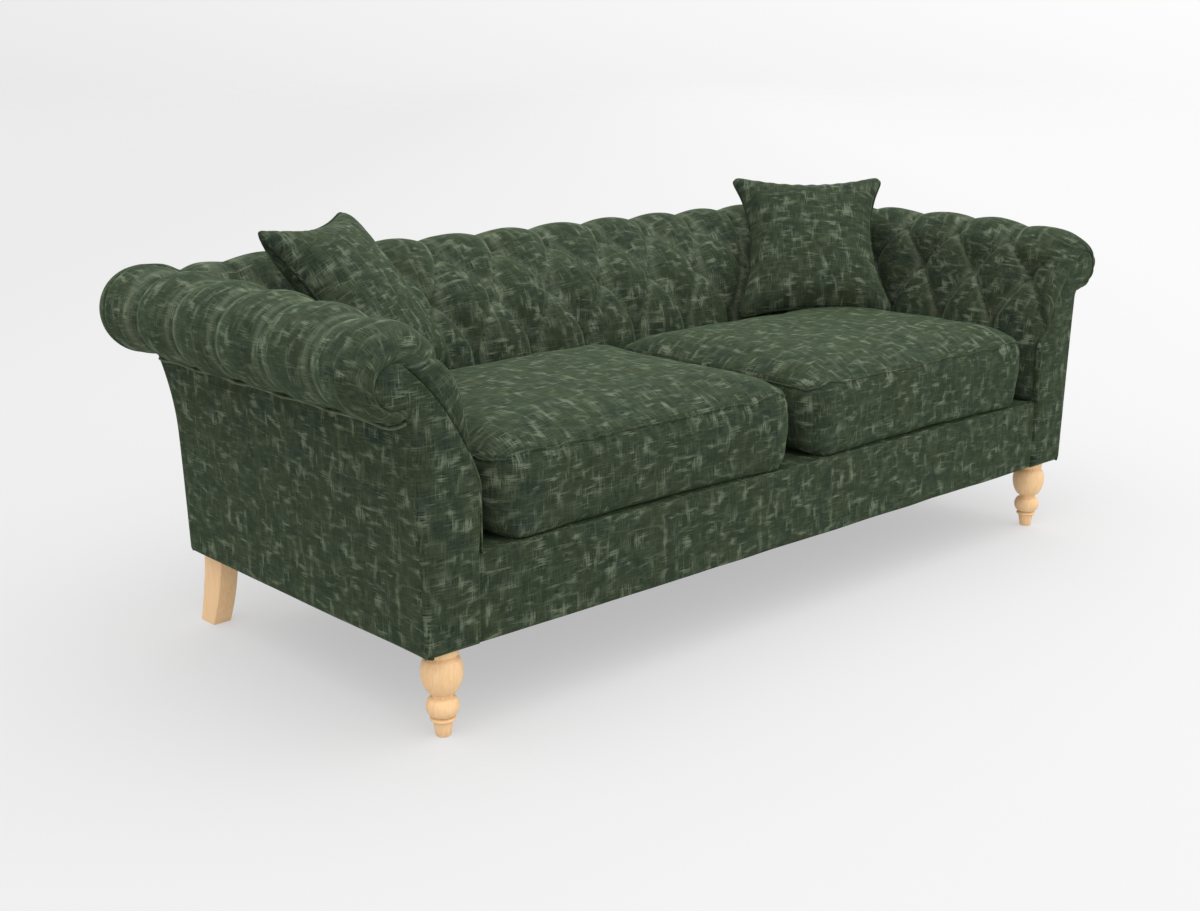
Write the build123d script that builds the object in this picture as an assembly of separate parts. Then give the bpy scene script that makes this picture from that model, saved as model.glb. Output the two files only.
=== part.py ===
from build123d import *
import math
import os

# Three-seater rolled-arm sofa, deep-buttoned inside, on turned front legs and curved rear legs.
# Millimetres, +Z up, +X to the right as seen from the front, -Y to the front.
# The origin is on the floor, under the middle of the sofa's plan.

# Overall sizes
WIDTH = 2196  # over the outsides of the rolled arms
DEPTH = 980  # front of the arms to the rear of the back roll
ARM_HEIGHT = 755  # floor to the top of the rolls, the same all round
BASE_HEIGHT = 168  # floor to the hem of the upholstery
ARM_THICKNESS = 118  # outside arm to inside arm, at the hem and the seat
BACK_THICKNESS = 178  # outside back at the hem to inside back at the seat

# Padded rolls along the arms and the back
ROLL_RADIUS = 89  # over the puffs
ROLL_OVERHANG = 116  # the arm rolls stand out this far past the hem
BACK_OVERHANG = 152  # the back roll stands out this far past the hem
ROLL_STUFFING = 49  # stuffing over the top rails
FOLD_DEPTH = 10  # the pleats over the rolls lie this much lower than the puffs
CORNER_RADIUS = 86  # rounded rear corners where the arm and back rolls meet

# Diamond tufting: pleats over the rolls, and rows of sewn tufts below them
BACK_PITCH = 165
ARM_PITCH = 156
ARM_FIRST_FOLD = 162  # front of the arm to its first pleat
TOP_TUFT_ANGLE = 140  # place of the top row round the roll, from its outer side
TOP_TUFT_DEPTH = 17
MIDDLE_TUFT_DROP = 40  # the middle row lies this far below the roll's centre
LOW_TUFT_DROP = 161
BACK_MIDDLE_STEP = 68  # the middle row lies this far behind the foot of the inside back
BACK_LOW_STEP = 23
ARM_MIDDLE_STEP = 38
ARM_LOW_STEP = 4
PUFF = 25  # the puffs stand this far out from the tufts
BACK_PUFF_RISE = 14  # how far a puff of the sloping back also rises
ARM_PUFF_RISE = 6
BACK_STUFFING = 66  # behind the tufts of the lower back
LINING_BEND_DROP = 106  # below the roll's centre the linings turn towards the top rails

# Wooden frame
TIMBER = 30  # rail thickness
RAIL_LIFT = 10  # hem to the underside of the rails
RAIL_HEIGHT = 122
TOP_RAIL_HEIGHT = 65
TOP_RAIL_WIDTH = 72
SCROLL_BOARD = 24  # board at the front of each arm
POST_WIDTH = 40
TACK_RAIL_HEIGHT = 30  # rails that carry the foot of the inside covers
TACK_RAIL_DEPTH = 26
CROSS_RAIL_SPACING = 600
CROSS_RAIL_HEIGHT = 50
BLOCK_WIDTH = 76
BLOCK_LENGTH = 80
BLOCK_HEIGHT = 70

# Webbing, linings, panels and covers
STRAP = 2
STRAP_WIDTH = 60
STRAP_SPACING = 150
PLATFORM = 30  # padded seat platform over the webbing
TACK_GAP = 1  # seat platform to the foot of the inside covers
LINING = 1.5
DUST_COVER = 1.5
PANEL = 4  # covered board of the outside panels
PANEL_TILT = 5  # lean of the outside arm over its upright part
ARM_UPRIGHT = 132  # hem to where the outside arm starts to sweep out
BACK_UPRIGHT = 252  # hem to where the outside back starts to sweep out
BORDER = 10  # padded strip in front of the front rail
BORDER_SETBACK = 10
FACING = 12  # padded panel on the front of the arm
FACING_INSET = 16
FACING_SHOULDER = 90  # the facing narrows from this far above the low tufts
SCROLL_RADIUS = 39  # round end of the facing
SCROLL_OUT = 21  # its place, from the centre of the roll
SCROLL_DROP = 16
CLEARANCE = 0.3

# Loose seat cushions
SEAT_GAP = 4  # between the two cushions
SEAT_SIDE_GAP = 22  # beside the inside arms
SEAT_SETBACK = 8  # behind the front of the arms
SEAT_REAR_GAP = 6  # in front of the inside back
SEAT_EDGE = 160  # underside to the top seam
SEAT_CROWN = 44
SEAT_CORNER = 45
SEAT_DRAW_IN = 6  # the sides are drawn in this much between the corners
COVER = 8  # wrap and cover round a cushion's core

# Scatter cushions, placed from the inside arm and the inside back
SCATTER_SIDE = 404
SCATTER_THICKNESS = 150
SCATTER_DRAW_IN = 30
SCATTER_CORNER = 14
SCATTER_LEAN = 38
SCATTER_START = 120  # in front of the inside back, before each is pushed back
RIGHT_SCATTER_IN = 174
RIGHT_SCATTER_GAP = 24  # left between the cushion and the inside back
RIGHT_SCATTER_TURN = -42
LEFT_SCATTER_IN = 186
LEFT_SCATTER_GAP = 11
LEFT_SCATTER_TURN = 32

# Turned front legs, from the floor up
FRONT_LEG_INSET = 62  # outside arm to the leg's axis
FRONT_LEG_SETBACK = 48  # front of the arms to the leg's axis
FOOT_RADIUS = 13.8
FOOT_EDGE = 2
FOOT_TOP_RADIUS = 18
FOOT_HEIGHT = 28
RING_RADIUS = 23.5
RING_HEIGHT = 9
LOW_BALL_RADIUS = 30
LOW_BALL_HEIGHT = 38
NECK_RADIUS = 19
NECK_HEIGHT = 5
BALL_RADIUS = 37.7
BALL_HEIGHT = 70
COLLAR_NECK_RADIUS = 27
COLLAR_RADIUS = 31
COLLAR_STEP = 4

# Curved rear legs and the bolts of all four
REAR_LEG_WIDTH = 41
REAR_LEG_TOP = 68  # front to rear at the top
REAR_LEG_FOOT = 52
REAR_LEG_SWEEP = 51  # the foot stands this far behind the top
REAR_LEG_BOW = 10
REAR_LEG_HOLLOW = 5
REAR_LEG_INSET = 30  # outside arm to the leg
REAR_LEG_GAP = 3  # behind the leg's top, to the outside back
REAR_BOLT_SETBACK = 16  # front of the leg's top to its bolt
BOLT_RADIUS = 4
BOLT_IN_LEG = 35
BOLT_IN_BLOCK = 45
BOLT_FIT = 0.2

# Places that follow from the sizes
FRONT = -DEPTH / 2
ROLL_X = WIDTH / 2 - ROLL_RADIUS
ROLL_Y = DEPTH / 2 - ROLL_RADIUS
ROLL_Z = ARM_HEIGHT - ROLL_RADIUS
FOLD_RADIUS = ROLL_RADIUS - FOLD_DEPTH
BASE_HALF = WIDTH / 2 - ROLL_OVERHANG
REAR = DEPTH / 2 - BACK_OVERHANG
SEAT_HALF = BASE_HALF - ARM_THICKNESS
SEAT_BACK = REAR - BACK_THICKNESS
RAIL_BOTTOM = BASE_HEIGHT + RAIL_LIFT
RAIL_TOP = RAIL_BOTTOM + RAIL_HEIGHT
DECK = RAIL_TOP + 2 * STRAP + PLATFORM
TACK_TOP = DECK + TACK_GAP
RAIL_HALF = TOP_RAIL_WIDTH / 2
TOP_RAIL_TOP = ARM_HEIGHT - ROLL_STUFFING
TOP_RAIL_BOTTOM = TOP_RAIL_TOP - TOP_RAIL_HEIGHT
BEND_Z = ROLL_Z - LINING_BEND_DROP
PAD_FRONT = FRONT + FACING
BOARD_BACK = PAD_FRONT + SCROLL_BOARD
RAIL_FACE = FRONT + BORDER_SETBACK + BORDER
FRONT_LEG_X = BASE_HALF - FRONT_LEG_INSET
FRONT_LEG_Y = FRONT + FRONT_LEG_SETBACK

# The same, measured across the arm or the back from the centre of its roll, outwards
ARM_FOOT = SEAT_HALF + PUFF - ROLL_X
BACK_FOOT = SEAT_BACK + PUFF - ROLL_Y
ARM_HEM = BASE_HALF - ROLL_X
BACK_HEM = REAR - ROLL_Y
ARM_FRAME_OUT = ARM_HEM - PANEL - CLEARANCE
BACK_FRAME_OUT = BACK_HEM - PANEL - CLEARANCE
ARM_FRAME_IN = ARM_FRAME_OUT - TIMBER
ARM_LINING_AT = ARM_FRAME_IN - LINING - 2 * CLEARANCE
BACK_LINING_AT = BACK_FOOT + BACK_STUFFING
BACK_RAIL_FACE = ROLL_Y + BACK_FRAME_OUT - TIMBER

ARM_LINING = [
    (ARM_LINING_AT, TACK_TOP),
    (ARM_LINING_AT, BEND_Z),
    (-RAIL_HALF, TOP_RAIL_BOTTOM),
]
BACK_LINING = [
    (BACK_LINING_AT, TACK_TOP),
    (BACK_LINING_AT + BACK_LOW_STEP, BEND_Z),
    (-RAIL_HALF, TOP_RAIL_BOTTOM),
]
MITRE = Plane(origin=(ROLL_X, ROLL_Y, 0), z_dir=(1, -1, 0))
MITRE_LEFT = Plane(origin=(-ROLL_X, ROLL_Y, 0), z_dir=(-1, -1, 0))


def save(node, shape):
    export_step(shape, f"parts/{node}.step")


def mirrored(shape):
    return mirror(shape, about=Plane.YZ)


def save_pair(node, right):
    save(f"{node}_right", right)
    save(f"{node}_left", mirrored(right))


def block(x0, x1, y0, y1, z0, z1):
    solid = Box(x1 - x0, y1 - y0, z1 - z0)
    return Pos((x0 + x1) / 2, (y0 + y1) / 2, (z0 + z1) / 2) * solid


def back_plane(x):
    """Section across the back at x: local x is the distance behind the roll's centre."""
    return Plane(origin=(x, ROLL_Y, 0), x_dir=(0, 1, 0), z_dir=(1, 0, 0))


def arm_plane(y):
    """Section across the right arm at y: local x is the distance outside the roll's centre."""
    return Plane(origin=(ROLL_X, y, 0), x_dir=(1, 0, 0), z_dir=(0, -1, 0))


def along_back(face, x0, x1):
    return extrude(back_plane(x0) * face, x1 - x0)


def along_arm(face, y0, y1):
    return extrude(arm_plane(y1) * face, y1 - y0)


def outline(*points):
    return make_face(Polyline(*points, close=True))


def on_roll(radius, angle):
    turn = math.radians(angle)
    return (radius * math.cos(turn), ROLL_Z + radius * math.sin(turn))


def between(start, end, share):
    return tuple(a + share * (b - a) for a, b in zip(start, end))


def moved(points, out):
    return [(across + out, height) for across, height in points]


# Tufted inside covers. Fullness of a section, from 0 in a tuft or pleat to 1 on a puff.
LEVELS = ("top", "upper", "middle", "lower", "low", "foot")
FULLNESS = {
    "end": dict(roll=-0.8, top=0, upper=0.6, middle=0.8, lower=0.6, low=0.4, foot=0.7),
    "fold": dict(roll=0, top=0, upper=0.75, middle=1, lower=0.75, low=0, foot=0.7),
    "side": dict(roll=0.8, top=0.8, upper=0.25, middle=0.8, lower=0.25, low=0.8, foot=0.8),
    "puff": dict(roll=1, top=1, upper=0.75, middle=0, lower=0.75, low=1, foot=1),
}
TACK = on_roll(FOLD_RADIUS, -93)


def tufted_section(kind, foot, middle_step, low_step, rise, lining):
    """Closed section of a tufted cover and its stuffing, hooked over the top rail."""
    full = FULLNESS[kind]
    middle_z = ROLL_Z - MIDDLE_TUFT_DROP
    low_z = ROLL_Z - LOW_TUFT_DROP
    tuft = {
        "top": on_roll(ROLL_RADIUS - TOP_TUFT_DEPTH, TOP_TUFT_ANGLE),
        "middle": (foot + middle_step, middle_z),
        "low": (foot + low_step, low_z),
        "foot": (foot, TACK_TOP),
    }
    crown = {
        "top": on_roll(ROLL_RADIUS, TOP_TUFT_ANGLE),
        "middle": (foot + middle_step - PUFF, middle_z + rise),
        "low": (foot + low_step - PUFF, low_z + rise / 2),
        "foot": (foot - PUFF, TACK_TOP),
    }
    for row in (tuft, crown):
        row["upper"] = between(row["top"], row["middle"], 0.5)
        row["lower"] = between(row["middle"], row["low"], 0.5)
    face_line = [between(tuft[level], crown[level], full[level]) for level in LEVELS]
    radius = FOLD_RADIUS + FOLD_DEPTH * full["roll"]
    top_radius = ROLL_RADIUS - TOP_TUFT_DEPTH * (1 - full["top"])
    side = on_roll(radius, -10)
    over = on_roll(radius, 80)
    edges = [
        ThreePointArc(TACK, on_roll((radius + FOLD_RADIUS) / 2, -55), side),
        ThreePointArc(side, on_roll(radius, 35), over),
        ThreePointArc(over, on_roll((radius + top_radius) / 2, 110), face_line[0]),
    ]
    hook = [(-RAIL_HALF, TOP_RAIL_TOP), (RAIL_HALF, TOP_RAIL_TOP), (RAIL_HALF, TOP_RAIL_BOTTOM), TACK]
    corners = face_line + lining + hook
    edges += [Line(start, end) for start, end in zip(corners[:-1], corners[1:])]
    return make_face(edges)


def tufted_stations(folds, first="fold"):
    """Places along a tufted cover: each bay runs from a pleat over a puff to the next pleat."""
    stations = []
    for start, end in zip(folds[:-1], folds[1:]):
        quarter = (end - start) / 4
        stations.append((start, "fold"))
        stations.append((start + quarter, "side"))
        stations.append((start + 2 * quarter, "puff"))
        stations.append((end - quarter, "side"))
    stations.append((folds[-1], "fold"))
    stations[0] = (folds[0], first)
    return stations


def inside_back():
    pairs = int((ROLL_X - BACK_PITCH / 2) / BACK_PITCH)
    folds = [i * BACK_PITCH for i in range(-pairs, pairs + 1)]
    shape = (BACK_FOOT, BACK_MIDDLE_STEP, BACK_LOW_STEP, BACK_PUFF_RISE, BACK_LINING)
    sections = [
        back_plane(x) * tufted_section(kind, *shape)
        for x, kind in tufted_stations([-ROLL_X] + folds + [ROLL_X])
    ]
    pad = loft(sections, ruled=True)
    pad = split(pad, bisect_by=MITRE, keep=Keep.BOTTOM)
    pad = split(pad, bisect_by=MITRE_LEFT, keep=Keep.BOTTOM)
    corner = Pos(ROLL_X, ROLL_Y, ROLL_Z) * Sphere(CORNER_RADIUS, arc_size3=90, align=None)
    return pad + corner + mirrored(corner)


def inside_arm():
    first = FRONT + ARM_FIRST_FOLD
    count = 1 + int((ROLL_Y - ARM_PITCH / 2 - first) / ARM_PITCH)
    folds = [first + i * ARM_PITCH for i in range(count)]
    shape = (ARM_FOOT, ARM_MIDDLE_STEP, ARM_LOW_STEP, ARM_PUFF_RISE, ARM_LINING)
    sections = [
        arm_plane(y) * tufted_section(kind, *shape)
        for y, kind in tufted_stations([PAD_FRONT] + folds + [ROLL_Y], first="end")
    ]
    pad = split(loft(sections, ruled=True), bisect_by=MITRE, keep=Keep.TOP)
    return pad - along_back(panel_face(*BACK_PANEL_LINE, -PANEL - CLEARANCE, DEPTH), 0, WIDTH)


# Outside panels: upright from the hem, then swept out to the seam under the roll
PANEL_TOP = (TACK[0] - PANEL, TACK[1] - STRAP)


def swept_line(foot, start, out):
    """The panel's line moved out: from the hem to the start of the sweep, and on to the roll."""
    foot, start, top = moved((foot, start, PANEL_TOP), out)
    rise = (start[0] - foot[0], start[1] - foot[1])
    return [Line(foot, start), TangentArc(start, top, tangent=rise)], foot, top


def panel_face(foot, start, inner, outer):
    """Face between the panel's line moved by inner and the same line moved by outer."""
    inner_edges, inner_foot, inner_top = swept_line(foot, start, inner)
    outer_edges, outer_foot, outer_top = swept_line(foot, start, outer)
    ends = [Line(inner_top, outer_top), Line(inner_foot, outer_foot)]
    return make_face(inner_edges + outer_edges + ends)


ARM_PANEL_LINE = ((ARM_HEM, BASE_HEIGHT), (ARM_HEM + PANEL_TILT, BASE_HEIGHT + ARM_UPRIGHT))
BACK_PANEL_LINE = ((BACK_HEM, BASE_HEIGHT), (BACK_HEM, BASE_HEIGHT + BACK_UPRIGHT))


def outside_arm():
    panel = along_arm(panel_face(*ARM_PANEL_LINE, -PANEL, 0), PAD_FRONT, ROLL_Y)
    behind = along_back(panel_face(*BACK_PANEL_LINE, 0, DEPTH), 0, WIDTH)
    return panel - behind


def outside_back():
    panel = along_back(panel_face(*BACK_PANEL_LINE, -PANEL, 0), -ROLL_X, ROLL_X)
    beside = along_arm(panel_face(*ARM_PANEL_LINE, -PANEL, WIDTH), FRONT, DEPTH)
    return panel - beside - mirrored(beside)


def arm_facing():
    """Front panel of the arm: a shaped upright that ends in a round scroll."""
    side_edges, foot, top = swept_line(*ARM_PANEL_LINE, 0)
    centre_z = ROLL_Z - SCROLL_DROP

    def scroll(angle):
        turn = math.radians(angle)
        return (SCROLL_OUT + SCROLL_RADIUS * math.cos(turn), centre_z + SCROLL_RADIUS * math.sin(turn))

    inner = SEAT_HALF - ROLL_X
    shoulder = (inner, ROLL_Z - LOW_TUFT_DROP - FACING_SHOULDER / 2)
    waist = (ARM_FOOT + ARM_MIDDLE_STEP + FACING_INSET, ROLL_Z - MIDDLE_TUFT_DROP - FACING_INSET)
    face = make_face(side_edges + [
        Line(top, scroll(250)),
        ThreePointArc(scroll(250), scroll(305), scroll(360)),
        ThreePointArc(scroll(360), scroll(55), scroll(110)),
        ThreePointArc(scroll(110), waist, shoulder),
        Line(shoulder, (inner, BASE_HEIGHT)),
        Line((inner, BASE_HEIGHT), foot),
    ])
    return along_arm(face, FRONT, PAD_FRONT)


# Wooden frame
def frame_line(lining):
    """Inner side of the posts and boards, just behind a lining."""
    return moved(lining, LINING + CLEARANCE)


def arm_post():
    inner = frame_line(ARM_LINING)
    face = outline(
        (inner[0][0], RAIL_TOP + STRAP), inner[1], inner[2],
        (0, TOP_RAIL_BOTTOM), (ARM_FRAME_OUT, BEND_Z), (ARM_FRAME_OUT, RAIL_TOP + STRAP))
    return along_arm(face, BACK_RAIL_FACE - BLOCK_WIDTH, BACK_RAIL_FACE)


def scroll_board():
    inner = frame_line(ARM_LINING)
    seat_side = SEAT_HALF - ROLL_X + CLEARANCE
    under = TACK_TOP - CLEARANCE
    inside = RAIL_HALF - CLEARANCE
    face = outline(
        (seat_side, RAIL_BOTTOM), (seat_side, under), (inner[0][0], under), inner[1],
        (-inside, TOP_RAIL_BOTTOM), (-inside, TOP_RAIL_TOP - CLEARANCE),
        (inside, TOP_RAIL_TOP - CLEARANCE), (inside, TOP_RAIL_BOTTOM + CLEARANCE),
        (0, TOP_RAIL_BOTTOM), (ARM_FRAME_OUT, BEND_Z), (ARM_FRAME_OUT, RAIL_BOTTOM))
    return along_arm(face, PAD_FRONT, BOARD_BACK)


def top_rail_face():
    inside = RAIL_HALF - CLEARANCE
    top = TOP_RAIL_TOP - CLEARANCE
    return outline(
        (-inside, TOP_RAIL_BOTTOM), (inside, TOP_RAIL_BOTTOM), (inside, top), (-inside, top))


def back_posts():
    inner = moved(BACK_LINING, LINING + STRAP + CLEARANCE)
    face = outline(
        (inner[0][0], RAIL_TOP), inner[0], inner[1], inner[2],
        (0, TOP_RAIL_BOTTOM), (BACK_FRAME_OUT, BEND_Z), (BACK_FRAME_OUT, RAIL_TOP))
    outer = SEAT_HALF - POST_WIDTH / 2
    places = [-outer, -outer / 3, outer / 3, outer]
    return [along_back(face, x - POST_WIDTH / 2, x + POST_WIDTH / 2) for x in places]


def cross_rails():
    places = (-CROSS_RAIL_SPACING / 2, CROSS_RAIL_SPACING / 2)
    front = RAIL_FACE + TIMBER
    return [
        block(x - TIMBER / 2, x + TIMBER / 2, front, BACK_RAIL_FACE, RAIL_BOTTOM, RAIL_BOTTOM + CROSS_RAIL_HEIGHT)
        for x in places
    ]


def lining_strip(lining, near, far):
    """Section of a thin sheet that lies on a lining line, from near to far behind it."""
    front = moved(lining, near)
    rear = moved(lining, far)
    return outline(*front, *reversed(rear))


def spread(length, spacing):
    """Even places along a length, centred on it, about spacing apart."""
    count = max(2, round(length / spacing))
    step = length / count
    return [(i + 0.5) * step - length / 2 for i in range(count)]


# Soft forms
def pillow_outline(half_x, half_y, corner, draw_in, pointed=False):
    """Rectangle with rounded or pointed corners, whose sides are drawn in between them."""
    near = corner * (1 - math.sqrt(0.5))
    edges = []
    for turn, (along, out) in enumerate(((half_x, half_y), (half_y, half_x)) * 2):
        quarter = Rot(0, 0, 90 * turn)
        start, end = (along - corner, -out), (along, corner - out)
        side = ThreePointArc((corner - along, -out), (0, draw_in - out), start)
        bend = Line(start, end) if pointed else ThreePointArc(start, (along - near, near - out), end)
        edges += [quarter * side, quarter * bend]
    return make_face(edges)


def seat_form(wrap):
    """A seat cushion's form, moved in by wrap: rounded underside, boxed edge and crowned top."""
    half_x = (SEAT_HALF - SEAT_SIDE_GAP - SEAT_GAP / 2) / 2
    front = FRONT + SEAT_SETBACK
    half_y = (SEAT_BACK - SEAT_REAR_GAP - front) / 2
    top = SEAT_EDGE + SEAT_CROWN
    layers = [
        (0, 40), (0.12 * SEAT_EDGE, 9), (0.5 * SEAT_EDGE, 0), (SEAT_EDGE, 4),
        (SEAT_EDGE + 0.5 * SEAT_CROWN, 0.14 * half_y), (SEAT_EDGE + 0.85 * SEAT_CROWN, 0.38 * half_y),
        (top, 0.72 * half_y),
    ]
    sections = []
    for height, inset in layers:
        face = pillow_outline(half_x - inset - wrap, half_y - inset - wrap, SEAT_CORNER, SEAT_DRAW_IN)
        level = wrap + height * (top - 2 * wrap) / top
        sections.append(Pos(SEAT_GAP / 2 + half_x, front + half_y, DECK + CLEARANCE + level) * face)
    return loft(sections, ruled=True)


def scatter_form(wrap):
    """A scatter cushion lying flat on its middle plane, moved in by wrap."""
    half = SCATTER_SIDE / 2 - wrap
    depth = SCATTER_THICKNESS / 2 - wrap
    layers = [(1, 0.6, 0.3), (0.82, 0.36, 0.5), (0.42, 0.14, 0.9)]
    upper = [(share * depth, inset * half, draw) for share, inset, draw in layers]
    lower = [(-height, inset, draw) for height, inset, draw in upper]
    sections = [
        Pos(0, 0, height) * pillow_outline(
            half - inset, half - inset, SCATTER_CORNER, draw * SCATTER_DRAW_IN, pointed=True)
        for height, inset, draw in lower + [(0, 0, 1)] + upper[::-1]
    ]
    return loft(sections, ruled=True)


def moved_to(shape, rest, direction):
    """Move a shape along a direction until it rests against another with the clearance."""
    gap = shape.distance_to(rest)
    while gap > CLEARANCE * 1.5:
        shape = Pos(*(direction * (gap - CLEARANCE))) * shape
        gap = shape.distance_to(rest)
    return shape


def save_cushion(node, outer, core):
    save(f"{node}_cover", outer - core)
    save(f"{node}_core", core)


# Legs
def front_leg():
    """Turned leg: tapered foot, ring, small ball, neck, large ball and collar."""
    ring_z = FOOT_HEIGHT
    low_ball_z = ring_z + RING_HEIGHT
    neck_z = low_ball_z + LOW_BALL_HEIGHT
    ball_z = neck_z + NECK_HEIGHT
    collar_z = ball_z + BALL_HEIGHT
    profile = make_face([
        Line((0, 0), (FOOT_RADIUS - FOOT_EDGE, 0)),
        Line((FOOT_RADIUS - FOOT_EDGE, 0), (FOOT_RADIUS, FOOT_EDGE)),
        Line((FOOT_RADIUS, FOOT_EDGE), (FOOT_TOP_RADIUS, ring_z)),
        ThreePointArc((FOOT_TOP_RADIUS, ring_z), (RING_RADIUS, ring_z + RING_HEIGHT / 2),
                      (FOOT_TOP_RADIUS, low_ball_z)),
        ThreePointArc((FOOT_TOP_RADIUS, low_ball_z), (LOW_BALL_RADIUS, low_ball_z + LOW_BALL_HEIGHT / 2),
                      (NECK_RADIUS, neck_z)),
        Line((NECK_RADIUS, neck_z), (NECK_RADIUS, ball_z)),
        ThreePointArc((NECK_RADIUS, ball_z), (BALL_RADIUS, ball_z + BALL_HEIGHT / 2),
                      (COLLAR_NECK_RADIUS, collar_z)),
        Line((COLLAR_NECK_RADIUS, collar_z), (COLLAR_RADIUS, collar_z + COLLAR_STEP)),
        Line((COLLAR_RADIUS, collar_z + COLLAR_STEP), (COLLAR_RADIUS, RAIL_BOTTOM)),
        Line((COLLAR_RADIUS, RAIL_BOTTOM), (0, RAIL_BOTTOM)),
        Line((0, RAIL_BOTTOM), (0, 0)),
    ])
    turned = revolve(Plane.XZ * profile, Axis.Z)
    return Pos(FRONT_LEG_X, FRONT_LEG_Y, 0) * turned - bolt(*FRONT_BOLT, BOLT_FIT)


REAR_LEG_FRONT = ROLL_Y + BACK_FRAME_OUT - REAR_LEG_GAP - REAR_LEG_TOP
REAR_LEG_OUT = BASE_HALF - REAR_LEG_INSET
FRONT_BOLT = (FRONT_LEG_X, FRONT_LEG_Y)
REAR_BOLT = (REAR_LEG_OUT - REAR_LEG_WIDTH / 2, REAR_LEG_FRONT + REAR_BOLT_SETBACK)


def bolt(x, y, extra=0):
    length = BOLT_IN_LEG + BOLT_IN_BLOCK
    stud = Cylinder(BOLT_RADIUS + extra, length + 2 * extra)
    return Pos(x, y, RAIL_BOTTOM - BOLT_IN_LEG + length / 2) * stud


def rear_leg():
    """Square leg that curves to the rear, cut from a plank."""
    top_front = (REAR_LEG_FRONT, RAIL_BOTTOM)
    top_rear = (REAR_LEG_FRONT + REAR_LEG_TOP, RAIL_BOTTOM)
    foot_front = (REAR_LEG_FRONT + REAR_LEG_SWEEP, 0)
    foot_rear = (REAR_LEG_FRONT + REAR_LEG_SWEEP + REAR_LEG_FOOT, 0)
    bow = between(top_front, foot_front, 0.5)
    hollow = between(top_rear, foot_rear, 0.5)
    shape = make_face([
        Line(top_rear, top_front),
        ThreePointArc(top_front, (bow[0] - REAR_LEG_BOW, bow[1]), foot_front),
        Line(foot_front, foot_rear),
        ThreePointArc(foot_rear, (hollow[0] - REAR_LEG_HOLLOW, hollow[1]), top_rear),
    ])
    plank = Plane(origin=(REAR_LEG_OUT, 0, 0), x_dir=(0, 1, 0), z_dir=(1, 0, 0)) * shape
    return extrude(plank, -REAR_LEG_WIDTH) - bolt(*REAR_BOLT, BOLT_FIT)


def corner_blocks():
    side = ROLL_X + ARM_FRAME_IN
    front = block(side - BLOCK_WIDTH, side, BOARD_BACK, BOARD_BACK + BLOCK_LENGTH,
                  RAIL_BOTTOM, RAIL_BOTTOM + BLOCK_HEIGHT)
    rear = block(side - BLOCK_WIDTH, side, BACK_RAIL_FACE - BLOCK_LENGTH, BACK_RAIL_FACE,
                 RAIL_BOTTOM, RAIL_BOTTOM + BLOCK_HEIGHT)
    return [front - bolt(*FRONT_BOLT, BOLT_FIT), rear - bolt(*REAR_BOLT, BOLT_FIT)]


def dust_cover():
    side = ROLL_X + ARM_FRAME_OUT
    rear = ROLL_Y + BACK_FRAME_OUT
    sheet = block(-side, side, RAIL_FACE, rear, RAIL_BOTTOM - DUST_COVER, RAIL_BOTTOM)
    round_hole = Pos(FRONT_LEG_X, FRONT_LEG_Y, RAIL_BOTTOM) * Cylinder(COLLAR_RADIUS + 1, BLOCK_HEIGHT)
    square_hole = block(REAR_LEG_OUT - REAR_LEG_WIDTH - 1, REAR_LEG_OUT + 1,
                        REAR_LEG_FRONT - 1, rear + 1, BASE_HEIGHT, RAIL_TOP)
    for hole in (round_hole, square_hole):
        sheet = sheet - hole - mirrored(hole)
    return sheet


def with_mirrors(shapes):
    return Compound(children=[*shapes, *[mirrored(shape) for shape in shapes]])


os.makedirs("parts", exist_ok=True)

back_pad = inside_back()
save("inside_back", back_pad)
save_pair("inside_arm", inside_arm())
save("outside_back", outside_back())
save_pair("outside_arm", outside_arm())
save_pair("arm_facing", arm_facing())
save("front_border", block(
    CLEARANCE - SEAT_HALF, SEAT_HALF - CLEARANCE, FRONT + BORDER_SETBACK, RAIL_FACE, BASE_HEIGHT, DECK))
save("dust_cover", dust_cover())

SEAT_EDGE_X = SEAT_HALF - CLEARANCE
SIDE_RAIL_IN = ROLL_X + ARM_FRAME_IN
SIDE_RAIL_OUT = ROLL_X + ARM_FRAME_OUT
TACK_BOTTOM = TACK_TOP - TACK_RAIL_HEIGHT
BACK_TACK_FACE = ROLL_Y + BACK_LINING_AT + LINING + STRAP + CLEARANCE - TACK_RAIL_DEPTH
save("front_rail", block(
    -SEAT_EDGE_X, SEAT_EDGE_X, RAIL_FACE, RAIL_FACE + TIMBER, RAIL_BOTTOM, RAIL_TOP))
save("back_rail", block(
    -SIDE_RAIL_OUT, SIDE_RAIL_OUT, BACK_RAIL_FACE, BACK_RAIL_FACE + TIMBER, RAIL_BOTTOM, RAIL_TOP))
save_pair("side_rail", block(
    SIDE_RAIL_IN, SIDE_RAIL_OUT, BOARD_BACK, BACK_RAIL_FACE, RAIL_BOTTOM, RAIL_TOP + STRAP))
save("cross_rails", Compound(children=cross_rails()))
save("corner_blocks", with_mirrors(corner_blocks()))
save_pair("scroll_board", scroll_board())
save_pair("arm_post", arm_post())
save_pair("arm_top_rail", along_arm(top_rail_face(), BOARD_BACK, ROLL_Y - RAIL_HALF))
save_pair("arm_tack_rail", block(
    SIDE_RAIL_IN - TACK_RAIL_DEPTH, SIDE_RAIL_IN, BOARD_BACK, BACK_RAIL_FACE - BLOCK_LENGTH,
    TACK_BOTTOM, TACK_TOP))
save("back_posts", Compound(children=back_posts()))
save("back_top_rail", along_back(top_rail_face(), RAIL_HALF - ROLL_X, ROLL_X - RAIL_HALF))
save("back_tack_rail", block(
    -SEAT_EDGE_X, SEAT_EDGE_X, BACK_TACK_FACE, BACK_TACK_FACE + TACK_RAIL_DEPTH, TACK_BOTTOM, TACK_TOP))

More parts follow.
